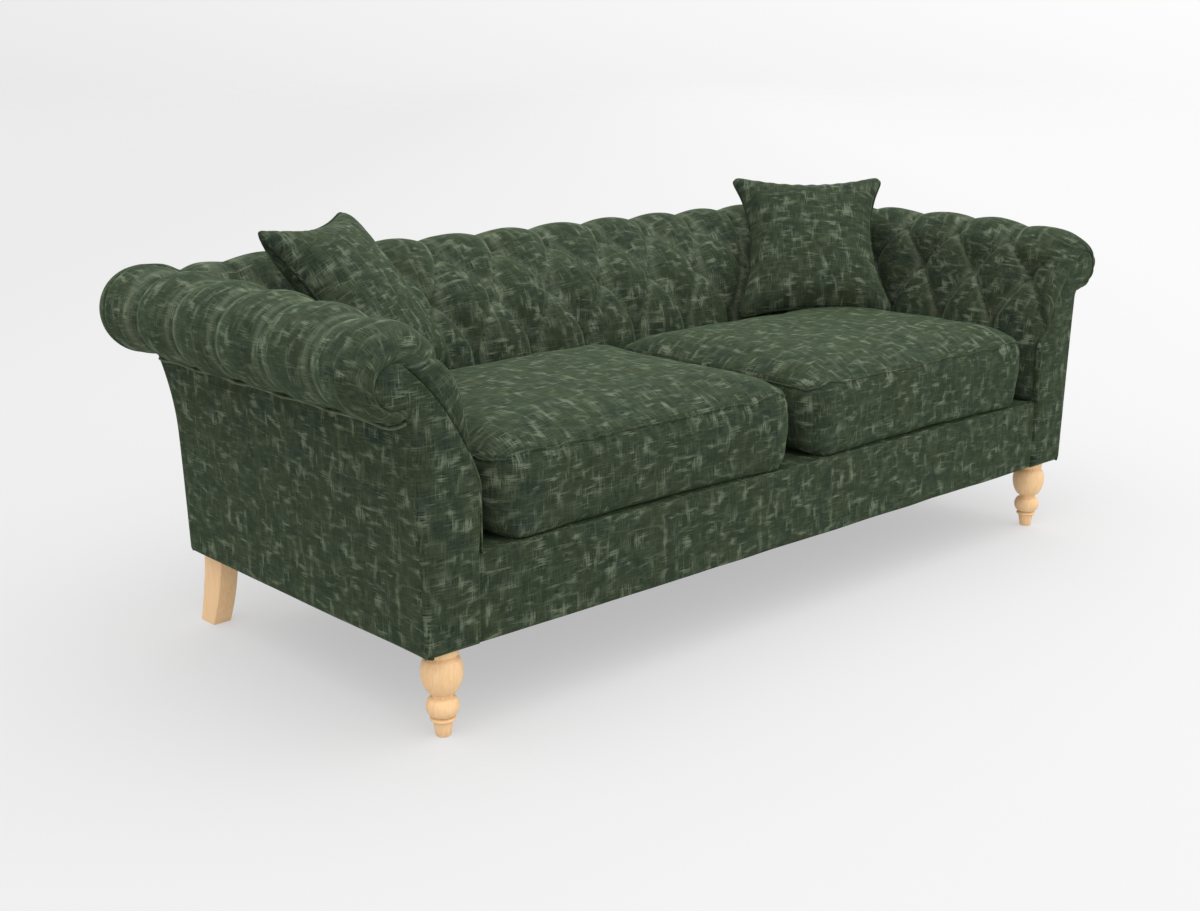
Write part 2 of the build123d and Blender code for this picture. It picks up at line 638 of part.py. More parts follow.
STRAP_Z = RAIL_TOP + STRAP
POST_FACE = ROLL_Y + BACK_LINING_AT + LINING + STRAP + CLEARANCE
save("seat_webbing_lengthways", Compound(children=[
    block(x - STRAP_WIDTH / 2, x + STRAP_WIDTH / 2, RAIL_FACE, POST_FACE, RAIL_TOP, STRAP_Z)
    for x in spread(2 * SEAT_EDGE_X, STRAP_SPACING)]))
CROSS_SPAN = BACK_TACK_FACE - BOARD_BACK
save("seat_webbing_crossways", Compound(children=[
    block(-SIDE_RAIL_OUT, SIDE_RAIL_OUT, BOARD_BACK + CROSS_SPAN / 2 + y - STRAP_WIDTH / 2,
          BOARD_BACK + CROSS_SPAN / 2 + y + STRAP_WIDTH / 2, STRAP_Z, STRAP_Z + STRAP)
    for y in spread(CROSS_SPAN, STRAP_SPACING)]))
save("seat_platform", block(
    -SEAT_EDGE_X, SEAT_EDGE_X, RAIL_FACE, BACK_TACK_FACE, STRAP_Z + STRAP, DECK))
save("back_lining", along_back(lining_strip(BACK_LINING, 0, LINING), -SEAT_HALF, SEAT_HALF))
save("back_webbing", Compound(children=[
    along_back(lining_strip(BACK_LINING, LINING, LINING + STRAP), x - STRAP_WIDTH / 2, x + STRAP_WIDTH / 2)
    for x in spread(2 * SEAT_EDGE_X, STRAP_SPACING)]))
save_pair("arm_lining", along_arm(
    lining_strip(ARM_LINING, 0, LINING), BOARD_BACK, BACK_RAIL_FACE - BLOCK_LENGTH))

save("front_legs", with_mirrors([front_leg()]))
save_pair("rear_leg", rear_leg())
save("leg_bolts", with_mirrors([bolt(*FRONT_BOLT), bolt(*REAR_BOLT)]))

seat_right = seat_form(0)
seat_right_core = seat_form(COVER)
seat_left = mirrored(seat_right)
save_cushion("seat_cushion_right", seat_right, seat_right_core)
save_cushion("seat_cushion_left", seat_left, mirrored(seat_right_core))
scatter = scatter_form(0)
scatter_core = scatter_form(COVER)
SCATTERS = (
    ("scatter_cushion_right", seat_right, SEAT_HALF - RIGHT_SCATTER_IN, RIGHT_SCATTER_GAP,
     RIGHT_SCATTER_TURN),
    ("scatter_cushion_left", seat_left, LEFT_SCATTER_IN - SEAT_HALF, LEFT_SCATTER_GAP, LEFT_SCATTER_TURN),
)
DOWN = Vector(0, 0, -1)
REARWARD = Vector(0, 1, 0)
for node, seat, x, gap, turn in SCATTERS:
    pose = Pos(x, SEAT_BACK - SCATTER_START, ARM_HEIGHT) * Rot(0, 0, turn) * Rot(90 - SCATTER_LEAN, 0, 0)
    start = pose * scatter
    pushed = moved_to(moved_to(start, seat, DOWN), back_pad, REARWARD)
    rest = moved_to(Pos(0, -gap, 0) * pushed, seat, DOWN)
    shift = rest.center() - start.center()
    save_cushion(node, rest, Pos(*shift) * (pose * scatter_core))
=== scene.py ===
import math

import bpy
import numpy as np
from mathutils import Matrix, Vector, noise
from mathutils.bvhtree import BVHTree


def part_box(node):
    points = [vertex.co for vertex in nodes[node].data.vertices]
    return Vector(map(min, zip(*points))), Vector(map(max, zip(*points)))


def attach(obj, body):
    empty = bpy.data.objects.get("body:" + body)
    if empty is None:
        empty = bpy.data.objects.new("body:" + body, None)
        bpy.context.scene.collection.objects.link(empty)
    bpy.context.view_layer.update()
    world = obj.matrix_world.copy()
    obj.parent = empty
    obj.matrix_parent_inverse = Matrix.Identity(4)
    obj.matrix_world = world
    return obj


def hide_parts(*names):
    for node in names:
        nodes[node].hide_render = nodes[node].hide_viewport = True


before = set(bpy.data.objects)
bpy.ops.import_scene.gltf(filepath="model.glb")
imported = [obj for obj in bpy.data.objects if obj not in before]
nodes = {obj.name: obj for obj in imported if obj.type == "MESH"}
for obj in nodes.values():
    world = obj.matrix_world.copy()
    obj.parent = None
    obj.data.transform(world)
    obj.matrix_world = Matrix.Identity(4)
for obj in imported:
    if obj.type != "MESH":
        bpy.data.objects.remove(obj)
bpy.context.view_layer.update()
bpy.ops.object.select_all(action="DESELECT")


# Timber frame: sawn hardwood rails, posts and boards, dowelled and glued into a box that
# carries the arms and the back. It is covered all over, so it keeps the plain CAD solids.
def new_material(name):
    material = bpy.data.materials.new(name)
    material.use_nodes = True
    tree = material.node_tree
    return material, tree, tree.nodes["Principled BSDF"]


def feed(tree, node, inputs):
    """Set a node's sockets to values, or link them to the outputs of other nodes."""
    for socket, value in inputs.items():
        if isinstance(value, bpy.types.NodeSocket):
            tree.links.new(value, node.inputs[socket])
        else:
            node.inputs[socket].default_value = value


def adjust(target, settings):
    for setting, value in settings.items():
        setattr(target, setting, value)


def add_node(tree, kind, inputs, **settings):
    node = tree.nodes.new("ShaderNode" + kind)
    adjust(node, settings)
    feed(tree, node, inputs)
    return node


def object_place(tree):
    return add_node(tree, "TexCoord", {}).outputs["Object"]


def bumps(tree, strength, distance, height):
    node = add_node(tree, "Bump", {"Strength": strength, "Distance": distance, "Height": height})
    return node.outputs["Normal"]


def two_tones(tree, amount, low, deep, high, pale):
    """A ramp from a deep tone where the amount is low to a pale one where it is high."""
    ramp = add_node(tree, "ValToRGB", {"Fac": amount})
    for stop, place, tone in zip(ramp.color_ramp.elements, (low, high), (deep, pale)):
        stop.position = place
        stop.color = (*tone, 1)
    return ramp.outputs["Color"]


def grain_material(name, pale, deep, grain_scale, roughness):
    """Bare wood, its figure and fibres drawn out along the grain."""
    material, tree, shader = new_material(name)
    place = object_place(tree)
    along = add_node(tree, "Mapping", {"Vector": place, "Scale": grain_scale}).outputs["Vector"]
    figure = add_node(tree, "TexNoise", {"Vector": along, "Scale": 9.0, "Detail": 6.0, "Distortion": 0.6})
    fibre = add_node(tree, "TexNoise", {"Vector": along, "Scale": 60.0, "Detail": 3.0}).outputs["Fac"]
    tones = two_tones(tree, figure.outputs["Fac"], 0.36, deep, 0.66, pale)
    lines = add_node(tree, "MixRGB", {"Fac": 0.16, "Color1": tones, "Color2": fibre}, blend_type="MULTIPLY")
    dents = bumps(tree, 0.12, 0.0006, fibre)
    feed(tree, shader, {
        "Base Color": lines.outputs["Color"], "Normal": dents,
        "Roughness": roughness, "Specular IOR Level": 0.35})
    return material


def finish_node(node, material):
    nodes[node].data.materials.clear()
    nodes[node].data.materials.append(material)


sawn_timber = grain_material(
    "sawn_timber", pale=(0.52, 0.36, 0.2), deep=(0.36, 0.23, 0.12), grain_scale=(1.5, 9, 9), roughness=0.75)
FRAME_PIECES = (
    "front_rail", "back_rail", "side_rail_left", "side_rail_right", "cross_rails", "corner_blocks",
    "scroll_board_left", "scroll_board_right", "arm_post_left", "arm_post_right",
    "arm_top_rail_left", "arm_top_rail_right", "arm_tack_rail_left", "arm_tack_rail_right",
    "back_posts", "back_top_rail", "back_tack_rail",
)
for frame_piece in FRAME_PIECES:
    finish_node(frame_piece, sawn_timber)


# Leg bolts: zinc-plated steel studs, screwed through the corner blocks into the legs.
# They are hidden by the dust cover and the legs.
zinc_steel, steel_tree, steel_shader = new_material("zinc_steel")
steel_place = object_place(steel_tree)
steel_grain = add_node(steel_tree, "TexNoise", {"Vector": steel_place, "Scale": 400.0}).outputs["Fac"]
feed(steel_tree, steel_shader, {
    "Base Color": two_tones(steel_tree, steel_grain, 0.0, (0.42, 0.43, 0.44), 1.0, (0.62, 0.63, 0.64)),
    "Metallic": 1.0, "Roughness": 0.38})
finish_node("leg_bolts", zinc_steel)


# Webbing and linings: woven jute straps across the seat and the back, and black hessian over
# them, stapled to the rails. The stuffing hides them.
def weave_material(name, light, dark, threads):
    material, tree, shader = new_material(name)
    place = object_place(tree)
    weave = add_node(tree, "TexChecker", {
        "Vector": place, "Scale": threads, "Color1": (*light, 1), "Color2": (*dark, 1)})
    dents = bumps(tree, 0.4, 0.0005, weave.outputs["Fac"])
    feed(tree, shader, {
        "Base Color": weave.outputs["Color"], "Normal": dents, "Roughness": 0.9})
    return material


jute_webbing = weave_material(
    "jute_webbing", light=(0.36, 0.28, 0.17), dark=(0.24, 0.18, 0.1), threads=500.0)
for strap in ("seat_webbing_lengthways", "seat_webbing_crossways", "back_webbing"):
    finish_node(strap, jute_webbing)
black_lining = weave_material(
    "black_lining", light=(0.03, 0.03, 0.032), dark=(0.016, 0.016, 0.017), threads=900.0)
for lining in ("back_lining", "arm_lining_left", "arm_lining_right"):
    finish_node(lining, black_lining)


# Front legs: turned from pale hardwood, with a tapered foot, a ring, two balls and a collar,
# and a clear matt finish. A bolt holds each under the front corner of the frame.
LEG_TOP = 0.178
FRONT_LEG_X, FRONT_LEG_Y = 0.92, -0.442
BEAD_ROUNDNESS = 0.62  # 0.5 is an ellipse, 1 a parabola
SIDES = (("left", -1), ("right", 1))


def bead_rings(radius_low, z_low, radius_mid, radius_high, z_high, steps):
    """Rings of a turned bead, from its foot over its widest place to its top."""
    rings = []
    for step in range(steps + 1):
        share = step / steps
        swell = 1 - (2 * share - 1) ** 2
        flat = radius_low + (radius_high - radius_low) * share
        radius = flat + (radius_mid - (radius_low + radius_high) / 2) * swell ** BEAD_ROUNDNESS
        rings.append((radius, z_low + (z_high - z_low) * share))
    return rings


def edit_all():
    """Enter edit mode with the whole mesh selected."""
    bpy.ops.object.mode_set(mode="EDIT")
    bpy.ops.mesh.select_all(action="SELECT")


def face_outwards():
    """Turn all faces outwards and leave edit mode."""
    bpy.ops.mesh.select_all(action="SELECT")
    bpy.ops.mesh.normals_make_consistent(inside=False)
    bpy.ops.object.mode_set(mode="OBJECT")


def turned_leg(name, x, y):
    """Extrude a disc from ring to ring, each a radius and a height."""
    rings = [(0.0118, 0.0), (0.0138, 0.002), (0.0158, 0.015), (0.018, 0.028)]  # tapered foot
    rings += bead_rings(0.0178, 0.0285, 0.0235, 0.0178, 0.037, 8)  # ring
    rings += bead_rings(0.018, 0.0375, 0.03, 0.019, 0.075, 16)  # lower ball
    rings += [(0.0188, 0.0775)]  # neck
    rings += bead_rings(0.019, 0.08, 0.0377, 0.0268, 0.15, 22)  # upper ball
    rings += [(0.027, 0.1515), (0.0305, 0.1535), (0.031, 0.156), (0.031, LEG_TOP)]  # collar
    bpy.ops.mesh.primitive_circle_add(
        vertices=64, radius=rings[0][0], fill_type="NGON", location=(0, 0, 0))
    leg = bpy.context.object
    leg.name = name
    edit_all()
    for (radius, height), (next_radius, next_height) in zip(rings[:-1], rings[1:]):
        bpy.ops.mesh.extrude_region_move(
            TRANSFORM_OT_translate={"value": (0, 0, next_height - height)})
        wider = next_radius / radius
        bpy.ops.transform.resize(value=(wider, wider, 1), center_override=(0, 0, next_height))
    bpy.ops.mesh.select_all(action="SELECT")
    bpy.ops.transform.translate(value=(x, y, 0))
    face_outwards()
    bpy.ops.object.shade_smooth_by_angle(angle=math.radians(38))
    leg.select_set(False)
    return leg


def dress(piece, material, body, stands_for=()):
    """Finish a piece and fix it to its body, in place of CAD nodes."""
    piece.data.materials.append(material)
    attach(piece, body)
    if stands_for:
        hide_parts(*stands_for)


pale_wood = grain_material(
    "pale_wood", pale=(0.80, 0.535, 0.292), deep=(0.73, 0.465, 0.236),
    grain_scale=(26, 26, 1.6), roughness=0.5)
for side, sign in SIDES:
    leg = turned_leg("front_leg_" + side, sign * FRONT_LEG_X, FRONT_LEG_Y)
    dress(leg, pale_wood, "sofa", ["front_legs"])


# Rear legs: sawn from a plank to a curve that sweeps to the rear, edges eased, in the same
# pale wood and finish. Bolted under the rear corners.
REAR_LEG_INNER, REAR_LEG_OUTER = 0.911, 0.952  # a leg's two sides, from the middle of the sofa


def new_grid(name, columns, rows, size=1):
    """A flat grid to be shaped, with so many faces along X and Y."""
    bpy.ops.mesh.primitive_grid_add(
        x_subdivisions=columns, y_subdivisions=rows, size=size, location=(0, 0, 0))
    grid = bpy.context.object
    grid.name = name
    return grid


def apply_modifier(piece, name, kind, **settings):
    adjust(piece.modifiers.new(name, kind), settings)
    bpy.ops.object.modifier_apply(modifier=name)


def swept_leg(name, inner_x, outer_x):
    top_front, top_rear = 0.2627, 0.3307
    foot_front, foot_rear = 0.3137, 0.3657
    front_bow, rear_bow = 0.010, 0.005
    leg = new_grid(name, 4, 24)
    for vertex in leg.data.vertices:
        depth = vertex.co.x + 0.5
        height = vertex.co.y + 0.5
        bow = 4 * height * (1 - height)
        front = foot_front + (top_front - foot_front) * height - front_bow * bow
        rear = foot_rear + (top_rear - foot_rear) * height - rear_bow * bow
        vertex.co = (inner_x, front + (rear - front) * depth, LEG_TOP * height)
    edit_all()
    bpy.ops.mesh.extrude_region_move(TRANSFORM_OT_translate={"value": (outer_x - inner_x, 0, 0)})
    face_outwards()
    apply_modifier(leg, "eased_edges", "BEVEL", width=0.0022, segments=3,
                   limit_method="ANGLE", angle_limit=math.radians(50))
    bpy.ops.object.shade_smooth_by_angle(angle=math.radians(35))
    leg.select_set(False)
    return leg


for side, sign in SIDES:
    leg = swept_leg("rear_leg_" + side + "_swept", sign * REAR_LEG_INNER, sign * REAR_LEG_OUTER)
    dress(leg, pale_wood, "sofa", ["rear_leg_" + side])


# Dust cover: black non-woven cloth stapled under the rails, cut round the legs.
# It sags a little between the cross rails.
COVER_HALF_WIDTH, COVER_HALF_DEPTH = 0.9755, 0.4
COVER_Y, COVER_Z, COVER_SAG = -0.068, 0.1765, 0.005
FRONT_LEG_HOLE = 0.046  # radius
REAR_HOLE_INNER, REAR_HOLE_OUTER, REAR_HOLE_FRONT = 0.9, 0.965, 0.25
dust_cover = new_grid("dust_cover_cloth", 120, 50)
for vertex in dust_cover.data.vertices:
    across, deep = vertex.co.x * 2, vertex.co.y * 2
    between_rails = 1 - 0.6 * math.cos(across * math.pi * 3) ** 2
    sag = COVER_SAG * (1 - across ** 2) * (1 - deep ** 2) * between_rails
    vertex.co = (COVER_HALF_WIDTH * across, COVER_Y + COVER_HALF_DEPTH * deep, COVER_Z - sag)
bpy.ops.object.mode_set(mode="EDIT")
bpy.ops.mesh.select_mode(type="FACE")
bpy.ops.mesh.select_all(action="DESELECT")
bpy.ops.object.mode_set(mode="OBJECT")
for face in dust_cover.data.polygons:
    x, y = abs(face.center.x), face.center.y
    at_front_leg = math.hypot(x - FRONT_LEG_X, y - FRONT_LEG_Y) < FRONT_LEG_HOLE
    at_rear_leg = REAR_HOLE_INNER < x < REAR_HOLE_OUTER and y > REAR_HOLE_FRONT
    face.select = at_front_leg or at_rear_leg
bpy.ops.object.mode_set(mode="EDIT")
bpy.ops.mesh.delete(type="FACE")
bpy.ops.mesh.select_mode(type="VERT")
bpy.ops.object.mode_set(mode="OBJECT")
apply_modifier(dust_cover, "cloth_wall", "SOLIDIFY", thickness=0.0008, offset=1)
dust_cover.select_set(False)
dress(dust_cover, black_lining, "sofa", ["dust_cover"])


# Seat platform: a flat pad over the webbing, covered in plain green cloth, on which the loose
# cushions lie. It shows when they are lifted off.
def metric_uv(piece):
    """Lay the cloth on a piece from its nearest side, in metres, with the warp upright."""
    mesh = piece.data
    layer = mesh.uv_layers.active or mesh.uv_layers.new(name="cloth")
    for face in mesh.polygons:
        x, y, z = (abs(n) for n in face.normal)
        if z >= x and z >= y:
            across, up = 0, 1
        elif y >= x:
            across, up = 0, 2
        else:
            across, up = 1, 2
        for loop in face.loop_indices:
            place = mesh.vertices[mesh.loops[loop].vertex_index].co
            layer.data[loop].uv = (place[across], place[up])


def slub_cloth(name, shade=1.0):
    """Dark green chenille: fine crossed threads, with clusters of paler slubs that run both ways, and
    painted sheen where a mesh's pleat attribute asks for it.
    """
    material, tree, shader = new_material(name)
    uv = add_node(tree, "UVMap", {}).outputs["UV"]

    def limits(value, low, high):
        node = add_node(tree, "MapRange", {"Value": value, "From Min": low, "From Max": high},
                        interpolation_type="SMOOTHSTEP")
        return node.outputs["Result"]

    def streaks(across, along, detail, low, high):
        """Uneven streaks, with so many to the metre across and along the cloth."""
        stretch = add_node(tree, "Mapping", {"Vector": uv, "Scale": (across, along, 1)})
        pattern = add_node(tree, "TexNoise", {
            "Vector": stretch.outputs["Vector"], "Scale": 1.0, "Detail": detail, "Roughness": 0.6})
        return limits(pattern.outputs["Fac"], low, high)

    def combine(operation, *values):
        node = add_node(tree, "Math", dict(enumerate(values)),
                        operation=operation, use_clamp=operation == "ADD")
        return node.outputs["Value"]

    def tone(*channels):
        return (*[shade * channel for channel in channels], 1)

    def tint(amount, first, second):
        return add_node(tree, "MixRGB", {"Fac": amount, "Color1": first, "Color2": second}).outputs["Color"]

    def slub_patches(thread_value, across, along):
        """Pale patches whose ends are ragged, as each thread stops at its own place."""
        patch = streaks(across, along, 0, 0.0, 1.0)
        return limits(combine("MULTIPLY_ADD", thread_value, 0.24, patch), 0.64, 1.12)

    warp_threads = streaks(400, 34, 1, 0.36, 0.64)
    weft_threads = streaks(34, 400, 1, 0.36, 0.64)
    threads = combine("MULTIPLY", combine("ADD", warp_threads, weft_threads), 0.5)
    clouds = streaks(10, 10, 2, 0.34, 0.66)
    clusters = streaks(24, 26, 1, 0.40, 0.66)
    flecks = combine("MULTIPLY", streaks(70, 170, 0, 0.6, 0.8), 0.4)
    patches = combine("ADD", slub_patches(warp_threads, 62, 24), slub_patches(weft_threads, 30, 84))
    slubs = combine("ADD", patches, flecks)
    slubs = combine("MULTIPLY", slubs, combine("MULTIPLY_ADD", threads, 0.95, 0.15))
    slubs = combine("MULTIPLY", slubs, combine("MULTIPLY_ADD", clusters, 1.0, 0.25))
    # Painted sheen: a mesh attribute paints the cloth paler along the lips of the pleats and on the welt,
    # where light would catch them.
    pleat_sheen = add_node(tree, "Attribute", {}, attribute_name="pleat_sheen").outputs["Fac"]
    sheen_lines = combine("MULTIPLY", pleat_sheen, combine("MULTIPLY_ADD", threads, 0.35, 0.2))
    slubs = combine("ADD", slubs, sheen_lines)
    ground = tint(clouds, tone(0.0100, 0.0180, 0.0132), tone(0.0158, 0.0226, 0.0115))
    shadow = combine("MULTIPLY_ADD", streaks(26, 34, 1, 0.36, 0.62), 0.5, 0.5)
    crossed = tint(combine("MULTIPLY", threads, shadow), ground, tone(0.0495, 0.0635, 0.0365))
    height = combine("ADD", combine("MULTIPLY", threads, 0.7), combine("MULTIPLY", slubs, 0.3))
    dents = bumps(tree, 0.35, 0.0012, height)
    feed(tree, shader, {
        "Base Color": tint(slubs, crossed, tone(0.126, 0.150, 0.102)), "Normal": dents,
        "Roughness": 0.88, "Specular IOR Level": 0.06,
        "Sheen Weight": 0.09, "Sheen Roughness": 0.45, "Sheen Tint": (0.42, 0.68, 0.32, 1)})
    return material


def finish_smooth(piece):
    """Shade the active piece smooth and let go of it."""
    bpy.ops.object.shade_smooth()
    piece.select_set(False)


def padded_block(name, low, high, edge, cuts):
    """A flat pad: a box with rounded edges, divided finely enough to carry small dents."""
    bpy.ops.mesh.primitive_cube_add(size=1, location=(0, 0, 0))
    pad = bpy.context.object
    pad.name = name
    middle = [(a + b) / 2 for a, b in zip(low, high)]
    size = [b - a for a, b in zip(low, high)]
    edit_all()
    bpy.ops.transform.resize(value=size, center_override=(0, 0, 0))
    bpy.ops.transform.translate(value=middle)
    bpy.ops.mesh.bevel(offset=edge, segments=4, affect="EDGES")
    bpy.ops.object.mode_set(mode="OBJECT")
    for axis, count in enumerate(cuts):
        for cut in range(1, count):
            place = [0.0, 0.0, 0.0]
            normal = [0.0, 0.0, 0.0]
            place[axis] = low[axis] + size[axis] * cut / count
            normal[axis] = 1.0
            edit_all()
            bpy.ops.mesh.bisect(plane_co=place, plane_no=normal)
            bpy.ops.object.mode_set(mode="OBJECT")
    finish_smooth(pad)
    return pad


def soften(piece, amount, size, seed):
    """Small uneven dents in a stuffed surface."""
    mesh = piece.data
    moves = [vertex.normal * (amount * noise.noise(vertex.co / size + Vector((seed, seed, seed))))
             for vertex in mesh.vertices]
    for vertex, move in zip(mesh.vertices, moves):
        vertex.co += move
    mesh.update()


green_chenille = slub_cloth("green_chenille")
plain_cloth = slub_cloth("platform_green", shade=0.75)
deck_low, deck_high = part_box("seat_platform")
platform = padded_block("seat_platform_pad", deck_low, deck_high, edge=0.006, cuts=(24, 10, 1))
soften(platform, amount=0.0012, size=0.14, seed=3.0)
metric_uv(platform)
dress(platform, plain_cloth, "sofa", ["seat_platform"])


# Front border: a thinly padded strip of the green cloth over the front rail, under the
# cushions, turned under at the hem.
BORDER_TUCK = 0.002  # tucked in under the arm facings, at both ends
border_low, border_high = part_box("front_border")
border_low.x, border_high.x = border_low.x - BORDER_TUCK, border_high.x + BORDER_TUCK
border = padded_block("front_border_pad", border_low, border_high, edge=0.004, cuts=(60, 1, 8))
soften(border, amount=0.0016, size=0.12, seed=7.0)
metric_uv(border)
dress(border, green_chenille, "sofa", ["front_border"])


# Outside arms and outside back: the same cloth over wadding and board, pulled flat from the
# hem up to the seam under the rolls, where it sweeps out.
ROLL_X, ROLL_Y, ROLL_Z = 1.009, 0.401, 0.666
FRONT = -0.490
HEM, HEM_RISE, PANEL_TOP = 0.168, 0.008, 0.588
ARM_SWEEP_FOOT, BACK_SWEEP_FOOT = 0.3, 0.42  # heights from which the panels sweep out
HEM_TURN = ((0.0085, HEM + 0.0008), (0.005, HEM - 0.0002), (0.0018, HEM + 0.0022), (0.0, HEM + HEM_RISE))
EDGE_TURN, EDGE_DEPTH = 0.009, 0.006  # rounding at the panels' upright edges
PANEL_DENT = 0.0022
PANEL_ROWS, PANEL_COLUMNS = 56, 96


def clamp(value):
    return min(1.0, max(0.0, value))


def arm_line(z):
    """How far the outside arm lies outside the centre of the arm's roll, at a height."""
    rise = z - ARM_SWEEP_FOOT
    if rise < 0:
        return -0.027 + 0.005 * (z - HEM) / 0.132
    return -0.022 + 0.0379 * rise + 0.0394 * rise ** 2


def back_line(z):
    """How far the outside back lies behind the centre of the back's roll, at a height."""
    return -0.063 + 2.02 * max(0.0, z - BACK_SWEEP_FOOT) ** 2


def paint_sheen(mesh, amounts):
    """How much painted sheen lightens the cloth at each point of a mesh."""
    mesh.attributes.new("pleat_sheen", "FLOAT", "POINT").data.foreach_set("value", amounts)


def grid_piece(name, places, cloth, sheen_table=None):
    """A mesh over a table of points, rows by columns, with the cloth laid on in metres.
    The last table says how much painted sheen lightens the cloth at each point of its first rows, as along
    a pleat."""
    rows, columns = len(places), len(places[0])
    piece = new_grid(name, columns - 1, rows - 1)
    mesh = piece.data
    flat = np.empty(len(mesh.vertices) * 3, np.float32)
    mesh.vertices.foreach_get("co", flat)
    flat = flat.reshape(-1, 3)
    column = np.rint((flat[:, 0] + 0.5) * (columns - 1)).astype(int)
    row = np.rint((flat[:, 1] + 0.5) * (rows - 1)).astype(int)
    mesh.vertices.foreach_set("co", np.asarray(places, np.float32)[row, column].ravel())
    corner = np.empty(len(mesh.loops), np.int32)
    mesh.loops.foreach_get("vertex_index", corner)
    layer = mesh.uv_layers.active or mesh.uv_layers.new(name="cloth")
    layer.data.foreach_set("uv", np.asarray(cloth, np.float32)[row, column][corner].ravel())
    if sheen_table is not None:
        table = np.zeros((rows, columns), np.float32)
        table[:len(sheen_table)] = sheen_table
        paint_sheen(mesh, table[row, column])
    mesh.update()
    return piece


def close_piece(piece, fill_ends=True):
    """Merge the joined edges, close open ends and turn all faces outwards."""
    bpy.context.view_layer.objects.active = piece
    bpy.ops.object.mode_set(mode="EDIT")
    bpy.ops.mesh.select_mode(type="VERT")
    bpy.ops.mesh.select_all(action="SELECT")
    bpy.ops.mesh.remove_doubles(threshold=0.00005)
    if fill_ends:
        bpy.ops.mesh.fill_holes(sides=0)
    face_outwards()
    finish_smooth(piece)


def outside_panel(name, line, ends, place, seed):
    """A swept panel: rows from under the hem to the seam, columns from end to end."""
    rows = [(line(z) - inside, z) for inside, z in HEM_TURN]
    for step in range(1, PANEL_ROWS + 1):
        z = HEM + HEM_RISE + (PANEL_TOP - HEM - HEM_RISE) * step / PANEL_ROWS
        rows.append((line(z), z))
    places, cloth = [], []
    for out, z in rows:
        start, end = ends(z)
        row, row_cloth = [], []
        for column in range(PANEL_COLUMNS + 1):
            along = start + (end - start) * column / PANEL_COLUMNS
            near = min(along - start, end - along)
            turn = clamp(1 - near / EDGE_TURN)
            inward = EDGE_DEPTH * (1 - math.sqrt(1 - turn ** 2))
            dent = PANEL_DENT * noise.noise(Vector((along * 5, z * 7, seed))) * min(1, near / 0.05)
            row.append(place(along, out - inward + dent, z))
            row_cloth.append((along, z))
        places.append(row)
        cloth.append(row_cloth)
    panel = grid_piece(name, places, cloth)
    close_piece(panel, fill_ends=False)
    return panel


def board_panel(panel, node, towards):
    """Face a panel outwards, give it its board's thickness, and fix it to the frame."""
    mesh = panel.data
    facing = sum((face.normal * face.area for face in mesh.polygons), Vector())
    if facing.dot(Vector(towards)) < 0:
        mesh.flip_normals()
    bpy.context.view_layer.objects.active = panel
    apply_modifier(panel, "board", "SOLIDIFY", thickness=0.004, offset=-1)
    dress(panel, green_chenille, "sofa", [node])


for side, sign in SIDES:
    panel = outside_panel(
        "outside_arm_" + side + "_panel", arm_line,
        lambda z: (FRONT + 0.003, ROLL_Y + back_line(z)),
        lambda along, out, z: (sign * (ROLL_X + out), along, z), 1.5 + sign)
    board_panel(panel, "outside_arm_" + side, (sign, 0, 0))
panel = outside_panel(
    "outside_back_panel", back_line,
    lambda z: (-(ROLL_X + arm_line(z) - 0.002), ROLL_X + arm_line(z) - 0.002),
    lambda along, out, z: (along, ROLL_Y + out, z), 5.5)
board_panel(panel, "outside_back", (0, 1, 0))


# Inside arms and inside back: cloth and deep stuffing, sewn through in diamonds, with pleats
# that run from the top tufts over the rolls to the seam under them. Each is one padded piece
# hooked over its top rail, and they meet in the rear corners.
ROLL_ROWS, TUFT_ROWS, FOOT_ROWS = 54, 22, 14
BACK_COLUMNS, CORNER_COLUMNS, ARM_COLUMNS, TURN_COLUMNS = 321, 15, 140, 19
LINING_CLOTH = 0.05  # cloth between two rows behind the stuffing
FOLD_RADIUS, TOP_TUFT_RADIUS, TOP_TUFT_ANGLE = 0.077, 0.071, 140.0
SEAM_ANGLE = -93  # where the cloth of the rolls is sewn down, under them
BACK_LIFT, ARM_LIFT, END_LIFT = 0.038, 0.036, 0.025  # of the puffs on the face
ROLL_LIFT, ARM_ROLL_LIFT = 0.011, 0.0105  # of the puffs on the rolls
CREASE_LIFT = 0.009  # of the folds between the tufts
WANDER, UNEVENNESS = 0.004, 0.0022  # of the pleats' lines and of the stuffing
BACK_PITCH = 0.165
BACK_FOLDS = tuple(BACK_PITCH * step for step in range(-5, 6))
ARM_FOLDS = (-0.490, -0.328, -0.172, -0.016, 0.140, 0.296, 0.401)
CORNER_BAY = 0.36  # share of a puff from the last pleat to the corner
CORNER_BLEND, CORNER_CLOTH_RADIUS = 0.027, 0.085
CORNER_PLEAT, CORNER_PLEAT_DEPTH, CORNER_PLEAT_WIDTH = 0.93, 0.016, 0.028
LAST_PLEAT_DEPTH, LAST_PLEAT_WIDTH = 0.006, 0.018
BACK_LINING = ((-0.150, 0.337), (-0.118, 0.560), (-0.034, 0.6))
ARM_LINING = ((-0.066, 0.337), (-0.064, 0.560), (-0.034, 0.6))


